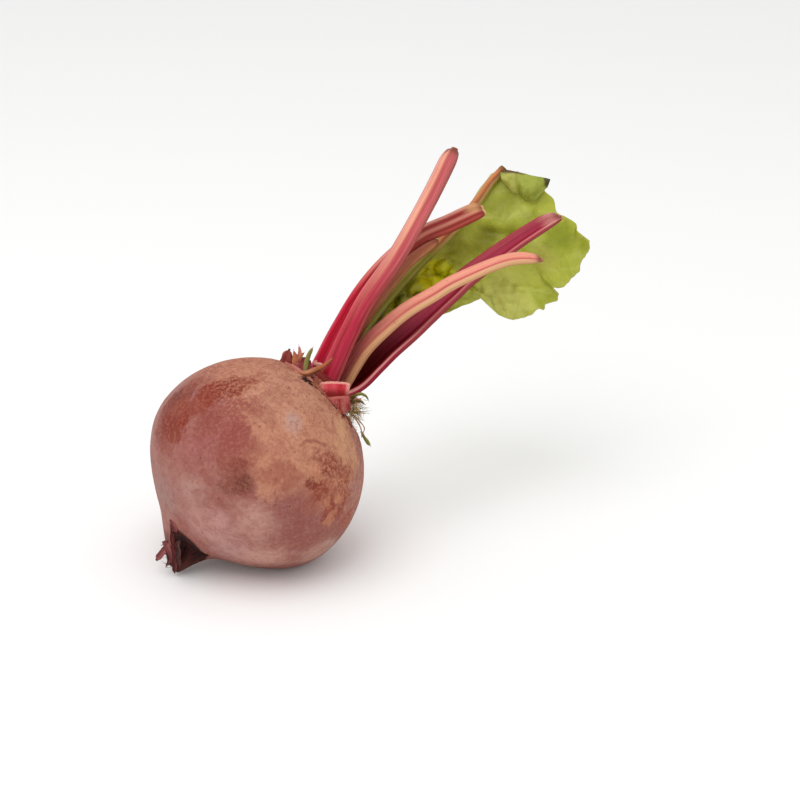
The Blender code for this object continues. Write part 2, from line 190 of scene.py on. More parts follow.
def fade(tree, value, low, high, to_low=0.0, to_high=1.0):
    """Turns a value smoothly from one number at low to another at high. Low may be above high."""
    ends = {"Value": value, "From Min": low, "From Max": high, "To Min": to_low, "To Max": to_high}
    return place(tree, "ShaderNodeMapRange", {"interpolation_type": "SMOOTHSTEP"}, ends).outputs["Result"]


def blend(tree, share, first, second, how="MIX"):
    """Mixes two colours."""
    settings = {"data_type": "RGBA", "blend_type": how}
    return place(tree, "ShaderNodeMix", settings, {0: share, 6: first, 7: second}).outputs[2]


def cloud(tree, vector, scale, detail=4.0, roughness=0.55, distortion=0.0):
    """Soft random values from 0 to 1."""
    ends = {"Vector": vector, "Scale": scale, "Detail": detail, "Roughness": roughness}
    ends["Distortion"] = distortion
    return place(tree, "ShaderNodeTexNoise", None, ends).outputs["Fac"]


def joined(tree, x, y, z):
    return place(tree, "ShaderNodeCombineXYZ", None, {0: x, 1: y, 2: z}).outputs[0]


def parts(tree, vector):
    return place(tree, "ShaderNodeSeparateXYZ", None, {0: vector}).outputs


TENT_GAIN = 1.24  # a surface looks this much brighter in the white tent than its own colour
TENT_PALING = 1.16  # and reflections of the tent make it paler, which a richer colour makes up for


def linear(level):
    level /= 255.0
    return level / 12.92 if level <= 0.04045 else ((level + 0.055) / 1.055) ** 2.4


def paint(*levels):
    """The own colour of a surface, given as the screen colour from 0 to 255 that it shows in the tent."""
    shown = [linear(level) / TENT_GAIN for level in levels]
    grey = sum(shown) / 3.0
    return (*(max(0.0015, grey + (level - grey) * TENT_PALING) for level in shown), 1.0)


def coat(tree, colour, share, levels, cover=1.0):
    """Lays a screen colour over another where the share is high. Cover makes the whole coat thinner."""
    if cover != 1.0:
        share = times(tree, share, cover)
    return blend(tree, share, colour, paint(*levels))


def new_group(name, kind, inputs, outputs):
    """An empty node group with named inputs, some with a value to start from, and named outputs."""
    group = bpy.data.node_groups.new(name, kind)
    for title, socket, *start in inputs:
        made = group.interface.new_socket(title, in_out="INPUT", socket_type="NodeSocket" + socket)
        if start:
            made.default_value = start[0]
    for title, socket in outputs:
        group.interface.new_socket(title, in_out="OUTPUT", socket_type="NodeSocket" + socket)
    return group, group.nodes.new("NodeGroupInput").outputs, group.nodes.new("NodeGroupOutput").inputs


def use_group(tree, group, inputs):
    return place(tree, tree.bl_idname.replace("NodeTree", "NodeGroup"), {"node_tree": group}, inputs).outputs


def new_material(name, **sockets):
    """A material whose shader has these inputs set, with _ for a space. Returns its tree and shader too."""
    material = bpy.data.materials.new(name)
    material.use_nodes = True
    shader = material.node_tree.nodes["Principled BSDF"]
    for title, value in sockets.items():
        shader.inputs[title.replace("_", " ")].default_value = value
    return material, material.node_tree, shader


def add_bump(tree, shader, height, distance, strength):
    """Lets a height tilt the light on the surface."""
    ends = {"Height": height, "Distance": distance, "Strength": strength}
    made = place(tree, "ShaderNodeBump", None, ends)
    tree.links.new(made.outputs["Normal"], shader.inputs["Normal"])


print("helpers ready")

# %% Floor
FLOOR_WIDTH = 6.0
FLOOR_COLOUR = (0.93, 0.93, 0.925, 1.0)


def finished_mesh(name, bm):
    mesh = bpy.data.meshes.new(name)
    bm.to_mesh(mesh)
    bm.free()
    return mesh


def add_floor():
    bm = bmesh.new()
    bmesh.ops.create_grid(bm, x_segments=1, y_segments=1, size=FLOOR_WIDTH / 2)
    mesh = finished_mesh("floor", bm)
    look = {"Base_Color": FLOOR_COLOUR, "Roughness": 0.8, "Specular_IOR_Level": 0.2}
    mesh.materials.append(new_material("pale_card", **look)[0])
    floor = add_object("floor", mesh)


add_floor()

# %% [markdown]
# ## The root
#
# A beetroot is the swollen base of the stem and the top of the tap root. Its skin is stretched tight over
# the widest part, is rough and corky round the leaves, where old leaves dropped off, and wrinkles again at
# the tail. Any line from its middle meets the skin only once, so it can be written as one rule: how far the
# skin is from the middle for each direction. The rule below is sampled on rings that run from the crown to
# the tail, closer together at both ends, where the small forms are.

# %% Shape of the root
ROOT_CENTRE = Vector((-4.0, -2.5, 35.6)) * MM
CROWN_HEADING = math.radians(30.0)
CROWN_TILT = math.radians(52.0)
ROOT_FRAME = (
    Matrix.Translation(ROOT_CENTRE) @ Matrix.Rotation(
        CROWN_HEADING, 4, "Z",
    ) @ Matrix.Rotation(CROWN_TILT, 4, "Y")
)
SKIN_ANGLES = (0, 12, 23, 35, 50, 70, 85, 100, 110, 123, 135, 150, 165, 180)
SKIN_RADII = (33.0, 33.7, 35.8, 36.8, 37.5, 38.4, 39.2, 39.7, 39.5, 38.4, 37.2, 36.2, 35.6, 35.2)
NECK_RADIUS = 10.4
NECK_HEIGHT = 35.6
NECK_WITHIN = 30.0
TAIL_LENGTH = 12.6
TAIL_SPREAD = 11.5
TAIL_SKEW = 4.5
TAIL_SKEW_SIDE = 144.0
TAIL_SHARPNESS = 1.3
TAIL_LEAN = math.radians(8.5)
TAIL_SHOULDER = 1.2
TAIL_SHOULDER_SIDE = 165.0
RECESS_DEPTH = 3.0
RECESS_SIDES = (-166.0, -148.0, -45.0, -20.0)  # it deepens between the first two and fades between the last
RECESS_EDGE = (18.0, 15.8)  # degrees from the tail, at the left and at the right
CORK_BEGINS, CORK_ENDS = 30.0, 50.0  # degrees from the crown
CORK_STEP = 0.25
ROOT_SIDES = 360
ROOT_RINGS = 260
RING_CROWDING = 14.0


def smooth_steps(value, low, high):
    t = np.clip((value - low) / (high - low), 0.0, 1.0)
    return t * t * (3.0 - 2.0 * t)


def ring_angles():
    even = np.linspace(0.0, 180.0, ROOT_RINGS + 1)
    return even - RING_CROWDING * np.sin(np.radians(2.0 * even))


def skin_radius(angle):
    """The plain radius at an angle from the crown, with the corners of the table rounded off."""
    fine = np.linspace(-30.0, 210.0, 961)
    folded = np.abs(fine)
    folded = np.where(folded > 180.0, 360.0 - folded, folded)
    raw = np.interp(folded, SKIN_ANGLES, SKIN_RADII)
    window = np.hanning(41)
    even = np.convolve(np.pad(raw, 20, "edge"), window / window.sum(), "valid")
    return np.interp(angle, fine, even)


def root_distance(angle, side):
    """How far the skin is from the middle, in millimetres, for angles in degrees."""
    from_tail = 180.0 - angle
    spread = TAIL_SPREAD + TAIL_SKEW * np.cos(np.radians(side - TAIL_SKEW_SIDE))
    distance = skin_radius(angle) + TAIL_LENGTH * np.exp(-((from_tail / spread) ** TAIL_SHARPNESS))
    beside = np.maximum(np.cos(np.radians(side - TAIL_SHOULDER_SIDE)), 0.0) ** 2
    distance = distance + TAIL_SHOULDER * beside * np.exp(-(((from_tail - 15.0) / 8.0) ** 2))
    opens, full, ebbs, ends = RECESS_SIDES
    facing = smooth_steps(side, opens, full) * smooth_steps(side, ends, ebbs)
    edge = RECESS_EDGE[0] + (RECESS_EDGE[1] - RECESS_EDGE[0]) * smooth_steps(side, -150.0, -80.0)
    edge = edge + 0.5 * np.sin(np.radians(side * 7.0))
    hollow = smooth_steps(from_tail, edge, edge - 2.6) * smooth_steps(from_tail, 2.0, 9.0)
    distance = distance - RECESS_DEPTH * facing * hollow
    near = np.radians(np.minimum(angle, NECK_WITHIN))
    neck = np.minimum(NECK_HEIGHT / np.cos(near), NECK_RADIUS / np.maximum(np.sin(near), 1e-3))
    return np.where(angle < NECK_WITHIN, np.maximum(distance, neck), distance)


def root_points(angle, side):
    """Points of the skin in metres, in the frame of the scene."""
    distance = root_distance(angle, side) * MM
    lean = TAIL_LEAN * smooth_steps(angle, 110.0, 170.0)
    a, s = np.radians(angle), np.radians(side)
    x, y, z = np.sin(a) * np.cos(s), np.sin(a) * np.sin(s), np.cos(a)
    x, z = x * np.cos(lean) - z * np.sin(lean), x * np.sin(lean) + z * np.cos(lean)
    local = np.stack([x, y, z, np.zeros_like(x)], axis=-1) * distance[..., None]
    local[..., 3] = 1.0
    return local @ np.array(ROOT_FRAME).T[:, :3]


def roughness_of_root(points, angle, side):
    """Lumps of the real skin, in metres: low swellings, ring wrinkles at the neck, folds on the tail."""
    rough = np.empty(len(points))
    near_neck = smooth_steps(angle, 46.0, 20.0)
    near_tail = smooth_steps(180.0 - angle, 17.0, 9.0)
    for i, point in enumerate(points):
        p = Vector(point) / MM
        lumps = 0.28 * noise.noise(p * 0.045) + 0.07 * noise.noise(p * 0.2)
        if near_neck[i] > 0.0:
            rings = noise.noise(Vector((angle[i] * 0.55, p.x * 0.09, p.y * 0.09)))
            lumps += near_neck[i] * (0.3 * rings + 0.22 * noise.noise(p * 0.9))
            # the cork ends in a ragged step where the leaf scars begin
            ragged = angle[i] + 3.0 * noise.noise(p * 0.3) + 1.6 * noise.noise(p * 1.1)
            step = min(1.0, max(0.0, (ragged - CORK_BEGINS) / 1.5))
            ebb = min(1.0, max(0.0, (CORK_ENDS - angle[i]) / 18.0)) ** 2
            lumps += CORK_STEP * step * ebb
        if near_tail[i] > 0.0:
            turn = math.radians(side[i])
            folds = noise.noise(Vector((math.cos(turn) * 3.4, math.sin(turn) * 3.4, angle[i] * 0.06)))
            lumps += near_tail[i] * (0.55 * folds + 0.12 * noise.noise(p * 1.3))
        rough[i] = lumps * MM
    return rough


def root_mesh():
    angles = ring_angles()[1:-1]
    angle, side = np.meshgrid(angles, np.linspace(-180.0, 180.0, ROOT_SIDES, endpoint=False), indexing="ij")
    angle, side = angle.ravel(), side.ravel()
    points = root_points(angle, side)
    outward = points - np.array(ROOT_CENTRE)
    outward /= np.linalg.norm(outward, axis=1)[:, None]
    points = points + outward * roughness_of_root(points, angle, side)[:, None]
    ends = root_points(np.array([0.0, 180.0]), np.array([0.0, 0.0]))
    points = np.vstack([points, ends])
    points[:, 2] = np.maximum(points[:, 2], 0.0)
    faces = []
    for ring in range(len(angles) - 1):
        for i in range(ROOT_SIDES):
            j = (i + 1) % ROOT_SIDES
            a, b = ring * ROOT_SIDES, (ring + 1) * ROOT_SIDES
            faces.append((a + i, b + i, b + j, a + j))
    top, bottom = len(points) - 2, len(points) - 1
    last = (len(angles) - 1) * ROOT_SIDES
    for i in range(ROOT_SIDES):
        j = (i + 1) % ROOT_SIDES
        faces.append((top, i, j))
        faces.append((bottom, last + j, last + i))
    mesh = bpy.data.meshes.new("fine_root")
    mesh.from_pydata(points.tolist(), [], faces)
    mesh.validate()
    mesh.shade_smooth()
    return mesh


fine_root = add_object("fine_root", root_mesh())
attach(fine_root, "root")
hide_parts("root")
print("root:", len(fine_root.data.polygons), "faces,", len(fine_root.data.vertices), "points")

# %% [markdown]
# ## The skin of the root
#
# The colour of the skin isn't even: the tight part is mauve, the corky part near the leaves is tan, patches
# that were rubbed or scarred show brick red, and dried soil leaves a pale bloom low down, painted paler
# still for the soft sheen and the light from the floor there. Each of these is one soft-edged patch, so one
# group makes them all: it measures how far a point is from the patch's middle, with the distance disturbed
# by noise, which gives a ragged edge instead of a circle.


# %% Group: ragged patch
def make_patch_group():
    """A mask that is 1 in the middle of a patch and fades to 0 over its ragged edge."""
    inputs = [
        ("Position", "Vector"),
        ("Centre", "Vector"),
        ("Radius", "Float", 0.01),
        ("Softness", "Float", 0.4),
        ("Raggedness", "Float", 0.5),
        ("Grain", "Float", 110.0),
    ]
    group, given, out = new_group("ragged patch", "ShaderNodeTree", inputs, [("Mask", "Float")])
    away = vector_maths(group, "SUBTRACT", given["Position"], given["Centre"])
    share = maths(group, "DIVIDE", vector_maths(group, "LENGTH", away), given["Radius"])
    random = cloud(group, given["Position"], given["Grain"], 7.0, 0.68, 0.5)
    shift = times(group, minus(group, random, 0.5), given["Raggedness"])
    disturbed = plus(group, share, times(group, shift, 4.0))
    inner = minus(group, 1.0, given["Softness"])
    mask = fade(group, disturbed, 1.0, inner)
    group.links.new(mask, out["Mask"])
    return group


PATCH = make_patch_group()


def patch(tree, spot, centre, radius, **ends):
    """The mask of one ragged patch. Its middle and its radius are in millimetres."""
    ends.update(Position=spot, Centre=tuple(Vector(centre) * MM), Radius=radius * MM)
    return use_group(tree, PATCH, ends)["Mask"]


def add_patches(tree, spot, colour, patches):
    """Lays patches over a colour, each as a row of a table that says where and how."""
    for centre, radius, softness, raggedness, tint, cover in patches:
        mask = patch(tree, spot, centre, radius, Softness=softness, Raggedness=raggedness)
        colour = coat(tree, colour, mask, tint, cover)
    return colour


print("group:", PATCH.name)


# %% Group: round the root
def make_crown_group():
    """How far round the root a point lies, from 0 at the crown to 1 at the tail, and its turn as a vector."""
    outputs = [("Angle", "Float"), ("Turn", "Vector")]
    inputs = [("Position", "Vector")]
    group, given, out = new_group("round the root", "ShaderNodeTree", inputs, outputs)
    centred = vector_maths(group, "SUBTRACT", given["Position"], tuple(ROOT_CENTRE))
    unit = vector_maths(group, "NORMALIZE", centred)
    axes = [ROOT_FRAME.to_3x3() @ Vector(axis) for axis in ((1, 0, 0), (0, 1, 0), (0, 0, 1))]
    x, y, z = (vector_maths(group, "DOT_PRODUCT", unit, tuple(axis)) for axis in axes)
    angle = times(group, maths(group, "ARCCOSINE", z), 1.0 / math.pi)
    turn = vector_maths(group, "NORMALIZE", joined(group, x, y, 0.0))
    group.links.new(angle, out["Angle"])
    group.links.new(turn, out["Turn"])
    return group


ROUND_ROOT = make_crown_group()
print("group:", ROUND_ROOT.name)

# %% [markdown]
# The patches are listed from the deepest layer to the top one. Each row has its middle on the root in
# millimetres, its radius, how soft and how ragged its edge is, its colour, and how much it covers.

# %% Patches of the skin
SKIN_BASE = (172, 126, 118)
SKIN_BASE_DARK = (150, 98, 92)
SKIN_PATCHES = (
    # tan cork of the upper side
    ((12.0, -26.0, 58.0), 28.0, 0.18, 0.35, (194, 141, 118), 0.92),
    ((4.0, -10.0, 74.0), 24.0, 0.25, 0.35, (192, 143, 122), 0.9),
    ((20.6, -30.8, 40.0), 14.0, 0.3, 0.5, (193, 138, 114), 0.88),
    ((-12.0, 0.0, 70.0), 22.0, 0.8, 0.3, (182, 120, 100), 0.6),
    ((27.0, -20.0, 45.0), 12.0, 0.5, 0.4, (204, 156, 126), 0.8),
    ((27.5, -14.0, 52.0), 7.0, 0.5, 0.5, (212, 166, 134), 0.85),
    # purple and mauve of the tight skin
    ((-12.0, -29.0, 62.0), 12.0, 0.5, 0.5, (146, 80, 76), 0.85),
    ((-22.0, -31.0, 55.0), 15.0, 0.7, 0.3, (158, 98, 96), 0.75),
    ((-8.0, -36.5, 55.0), 9.0, 0.6, 0.6, (146, 82, 76), 0.75),
    ((-9.0, -39.5, 47.0), 9.0, 0.7, 0.6, (140, 82, 74), 0.7),
    ((12.0, -37.0, 33.0), 15.0, 0.7, 0.4, (146, 96, 92), 0.8),
    ((22.0, -28.0, 22.0), 9.0, 0.8, 0.4, (152, 100, 90), 0.7),
    ((4.0, -39.0, 48.0), 6.0, 0.5, 0.9, (158, 98, 84), 0.75),
    ((9.0, -38.0, 44.0), 4.5, 0.5, 1.0, (164, 106, 90), 0.7),
    ((-8.0, -34.0, 59.0), 7.0, 0.3, 0.6, (148, 82, 78), 0.8),
    # brick red patches along the shoulder
    ((-30.0, -11.5, 63.6), 8.5, 0.4, 0.4, (106, 44, 38), 0.9),
    ((-34.0, -11.0, 59.0), 7.5, 0.5, 0.5, (123, 56, 46), 0.9),
    ((-26.0, -9.0, 67.4), 6.0, 0.5, 0.6, (140, 78, 67), 0.75),
    ((-31.5, -21.5, 57.5), 6.5, 0.35, 0.55, (130, 58, 46), 0.9),
    ((-28.0, -20.6, 61.4), 6.5, 0.35, 0.6, (132, 56, 46), 0.9),
    ((-23.5, -20.0, 65.0), 7.0, 0.4, 0.6, (140, 67, 56), 0.85),
    ((-17.5, -18.0, 69.0), 7.0, 0.4, 0.65, (131, 51, 38), 0.9),
    ((-11.5, -17.0, 70.6), 6.0, 0.4, 0.7, (132, 61, 52), 0.9),
    ((-6.0, -15.0, 71.6), 4.5, 0.5, 0.7, (141, 76, 63), 0.8),
    ((-1.0, -12.0, 72.2), 4.0, 0.6, 0.7, (153, 93, 76), 0.7),
    ((-34.5, -20.0, 50.5), 8.0, 0.6, 0.5, (141, 76, 67), 0.75),
    ((-36.5, -15.0, 53.5), 7.0, 0.6, 0.5, (130, 61, 52), 0.8),
    ((-33.5, -17.5, 57.0), 6.5, 0.4, 0.5, (126, 54, 45), 0.85),
    ((-29.5, -16.0, 63.5), 5.5, 0.5, 0.6, (141, 74, 61), 0.8),
    ((-21.0, -27.0, 62.0), 8.0, 0.7, 0.6, (138, 73, 65), 0.6),
    # brick red patches on the right
    ((21.0, -31.0, 38.0), 12.5, 0.6, 0.5, (160, 96, 80), 0.75),
    ((22.5, -30.6, 30.0), 7.0, 0.45, 0.7, (142, 68, 58), 0.9),
    ((22.3, -28.0, 45.6), 6.0, 0.5, 0.8, (140, 76, 64), 0.85),
    ((16.6, -34.6, 42.4), 3.4, 0.5, 0.6, (120, 58, 50), 0.9),
    ((19.0, -33.8, 37.5), 4.2, 0.5, 0.9, (140, 72, 60), 0.8),
    ((27.4, -22.0, 23.0), 7.0, 0.5, 0.6, (156, 80, 64), 0.75),
    ((26.0, -24.5, 40.0), 5.0, 0.5, 0.9, (148, 84, 68), 0.7),
    ((19.5, -31.5, 51.0), 4.5, 0.5, 0.8, (160, 98, 84), 0.6),
    ((24.5, -26.5, 34.0), 8.0, 0.4, 0.8, (150, 84, 70), 0.6),
    ((20.5, -32.0, 33.8), 3.0, 0.5, 1.1, (198, 140, 112), 0.8),
    ((24.0, -28.6, 34.6), 2.6, 0.5, 1.2, (200, 142, 114), 0.7),
    ((22.0, -31.0, 26.5), 3.2, 0.5, 1.3, (196, 138, 112), 0.75),
    ((17.5, -33.5, 46.0), 3.0, 0.5, 1.3, (200, 142, 116), 0.7),
    # dark smudge in the middle
    ((-6.5, -41.2, 44.5), 5.6, 0.8, 0.45, (106, 60, 54), 0.85),
    ((-12.5, -40.0, 43.5), 5.0, 0.9, 0.5, (122, 74, 68), 0.7),
    ((-8.0, -40.0, 50.5), 4.0, 0.9, 0.6, (120, 62, 56), 0.6),
    # lilac grey
    ((9.9, -27.5, 61.3), 5.5, 0.7, 0.5, (194, 160, 152), 0.85),
    ((-3.0, -25.5, 66.6), 5.5, 0.7, 0.6, (158, 100, 90), 0.8),
    ((4.5, -35.0, 55.0), 4.5, 0.8, 0.6, (176, 118, 104), 0.6),
    # pale bloom of dry soil low on the left and in front, painted paler for the soft sheen and floor light there
    ((-34.5, -22.0, 33.0), 12.0, 0.8, 0.2, (160, 126, 120), 0.85),
    ((-24.0, -34.0, 39.0), 8.0, 0.8, 0.4, (184, 146, 138), 0.75),
    ((-3.5, -41.0, 31.0), 11.0, 0.8, 0.35, (196, 154, 144), 0.85),
    ((-20.0, -33.5, 25.0), 13.0, 0.8, 0.3, (194, 150, 142), 0.85),
    ((-13.0, -34.0, 17.0), 12.0, 0.8, 0.3, (192, 152, 147), 0.85),
    ((0.0, -32.0, 12.0), 13.0, 0.8, 0.3, (204, 160, 148), 0.85),
    ((18.0, -26.0, 11.0), 11.0, 0.8, 0.3, (194, 156, 142), 0.8),
    ((22.0, -22.5, 13.0), 6.0, 0.8, 0.4, (192, 160, 150), 0.6),
    ((-15.0, -38.0, 30.0), 7.5, 0.8, 0.4, (202, 158, 154), 0.65),
)


# soil and dark specks where the cork meets the leaf scars: middle, radius and colour
SKIN_SPECKS = (
    ((14.4, -4.6, 67.2), 2.9, (46, 28, 22)),
    ((16.6, -6.2, 65.6), 1.3, (96, 66, 52)),
    ((19.2, -6.6, 63.6), 1.1, (112, 72, 58)),
    ((23.6, -8.0, 58.8), 1.3, (66, 26, 18)),
    ((25.9, -6.6, 55.8), 1.4, (58, 24, 16)),
    ((28.7, -6.4, 51.6), 1.2, (84, 44, 30)),
    ((21.8, -6.6, 61.0), 1.2, (70, 30, 22)),
    ((25.6, -9.8, 55.6), 0.8, (84, 40, 26)),
)
SCAR_CENTRE = (16.2, -31.5, 46.3)
# where each mask fades: angles as a share of the way from crown to tail, places in metres
SCARS_END = (0.176, 0.166)
HOLLOW_ANGLE = (0.902, 0.914)
HOLLOW_LEFT = (-0.0344, -0.0333)
HOLLOW_BACK = (-0.008, -0.014)
RIDGE_ANGLE = (0.925, 0.955)
RIDGE_LEFT = (-0.0333, -0.0350)
SCAR_GAP = 2.9  # millimetres from one faint line of the scar to the next
SCAR_REACH = ((17.6, -29.2, 52.6), 7.0)  # the patch within which the lines show


# %% Skin material
def skin_material():
    material, tree, shader = new_material("beet_skin", Roughness=0.6, Specular_IOR_Level=0.1)
    spot = place(tree, "ShaderNodeTexCoord").outputs["Object"]
    where = use_group(tree, ROUND_ROOT, {"Position": spot})
    broad = cloud(tree, spot, 38.0, 4.0, 0.55)
    colour = blend(tree, fade(tree, broad, 0.35, 0.65), paint(*SKIN_BASE), paint(*SKIN_BASE_DARK))
    colour = add_patches(tree, spot, colour, SKIN_PATCHES)
    # cork grains in the tan part, and a fine mottling all over
    cork = fade(tree, where["Angle"], 0.53, 0.36)
    grains = fade(tree, cloud(tree, spot, 800.0, 4.0, 0.7), 0.46, 0.58)
    amount = times(tree, grains, fade(tree, cork, 0.0, 1.0, 0.16, 0.55))
    colour = coat(tree, colour, amount, (214, 160, 134))
    pores = fade(tree, cloud(tree, spot, 760.0, 4.0, 0.7, 0.3), 0.54, 0.64)
    colour = coat(tree, colour, times(tree, pores, fade(tree, cork, 0.0, 1.0, 0.28, 0.4)), (128, 66, 56))
    mottle = fade(tree, cloud(tree, spot, 170.0, 7.0, 0.75, 0.6), 0.44, 0.62)
    colour = coat(tree, colour, mottle, (142, 80, 72), 0.4)
    dots = place(tree, "ShaderNodeTexVoronoi", None, {"Vector": spot, "Scale": 330.0}).outputs["Distance"]
    dots = times(tree, fade(tree, dots, 0.16, 0.08), fade(tree, cloud(tree, spot, 300.0, 1.0), 0.52, 0.6))
    colour = coat(tree, colour, dots, (96, 48, 40), 0.6)
    # a faint scar, like a curl of a pen
    curl = vector_maths(tree, "LENGTH", vector_maths(tree, "SUBTRACT", spot, tuple(Vector(SCAR_CENTRE) * MM)))
    curl = plus(tree, curl, times(tree, cloud(tree, spot, 120.0, 2.0), 0.004))
    line = fade(tree, maths(tree, "PINGPONG", curl, SCAR_GAP * MM), 0.0009, 0.0001)
    line = times(tree, line, patch(tree, spot, *SCAR_REACH, Raggedness=0.3))
    colour = coat(tree, colour, line, (138, 80, 70), 0.55)
    # the neck, where old leaf scars show red tissue with pale fibres
    fibres = vector_maths(tree, "ADD", scaled(tree, where["Turn"], 16.0), scaled(tree, spot, 160.0))
    fibres = fade(tree, cloud(tree, fibres, 1.0, 6.0, 0.75), 0.42, 0.62)
    broken = cloud(tree, spot, 300.0, 5.0, 0.7, 0.4)
    ragged = plus(tree, where["Angle"], times(tree, minus(tree, broken, 0.5), 0.07))
    torn_off = fade(tree, ragged, *SCARS_END)
    tissue = blend(tree, fade(tree, broken, 0.42, 0.6), paint(140, 54, 52), paint(194, 118, 106))
    tissue = blend(tree, times(tree, fibres, 0.6), tissue, paint(208, 150, 122))
    colour = blend(tree, torn_off, colour, tissue)
    crust = times(tree, fade(tree, where["Angle"], 0.25, 0.19), fade(tree, broken, 0.5, 0.64))
    colour = coat(tree, colour, crust, (150, 84, 62), 0.6)
    for centre, radius, tint in SKIN_SPECKS:
        mask = patch(tree, spot, centre, radius, Softness=0.5, Raggedness=1.3, Grain=330.0)
        colour = coat(tree, colour, mask, tint)
    # the hollow beside the tail: dark torn flesh, painted darker still as the shade that fills the recess
    height = vector_maths(tree, "DOT_PRODUCT", spot, (0.0, 0.0, 1.0))
    left = vector_maths(tree, "DOT_PRODUCT", spot, (1.0, 0.0, 0.0))
    back = vector_maths(tree, "DOT_PRODUCT", spot, (0.0, 1.0, 0.0))
    wander = times(tree, minus(tree, cloud(tree, spot, 260.0, 4.0), 0.5), 0.02)
    tail_angle = plus(tree, where["Angle"], wander)
    hollow = times(tree, fade(tree, tail_angle, *HOLLOW_ANGLE), fade(tree, left, *HOLLOW_LEFT))
    hollow = times(tree, hollow, fade(tree, back, *HOLLOW_BACK))
    torn_in_shade = blend(
        tree, fade(tree, cloud(tree, spot, 420.0, 4.0, 0.6), 0.4, 0.65), paint(30, 6, 4), paint(60, 22, 18),
    )
    colour = blend(tree, hollow, colour, torn_in_shade)
    ridge = times(tree, fade(tree, tail_angle, *RIDGE_ANGLE), fade(tree, left, *RIDGE_LEFT))
    colour = coat(tree, colour, ridge, (112, 60, 54), 0.75)
    # painted shade: the lowest centimetre of the root is darkened where it nears the floor
    floor_shade = fade(tree, height, 0.01, 0.0)
    colour = coat(tree, colour, floor_shade, (120, 76, 66), 0.5)
    tree.links.new(colour, shader.inputs["Base Color"])
    tree.links.new(fade(tree, cork, 0.0, 1.0, 0.5, 0.75), shader.inputs["Roughness"])
    fine = cloud(tree, spot, 620.0, 5.0, 0.7)
    relief = times(tree, fine, fade(tree, cork, 0.0, 1.0, 0.2, 0.6))
    relief = plus(tree, relief, times(tree, cloud(tree, spot, 120.0, 5.0, 0.6), 0.5))
    # wrinkles that run round the neck
    turned = vector_maths(
        tree, "ADD", scaled(tree, where["Turn"], 3.5),
        joined(tree, 0.0, 0.0, times(tree, where["Angle"], 60.0)),
    )
    wrinkles = times(
        tree, cloud(tree, turned, 1.0, 4.0, 0.6, 0.6), fade(tree, where["Angle"], 0.36, 0.2, 0.0, 1.6),
    )
    relief = plus(tree, relief, wrinkles)
    add_bump(tree, shader, relief, 0.001, 0.65)
    return material


fine_root.data.materials.append(skin_material())
print("skin:", len(SKIN_PATCHES), "patches")

# %% [markdown]
# ## The stalks
#
# A leaf stalk is a long body with one flat or grooved side, fine ribs along it, and a cut end. All of them
# are made by one rule: a section is carried along a route. The route is a chain of stations. Each station
# keeps, as attributes, which way the groove faces, how wide and thick the stalk is there, and how far along
# it lies. A node tree lays a grid over the chain and bends it round, so the same tree makes every stalk.


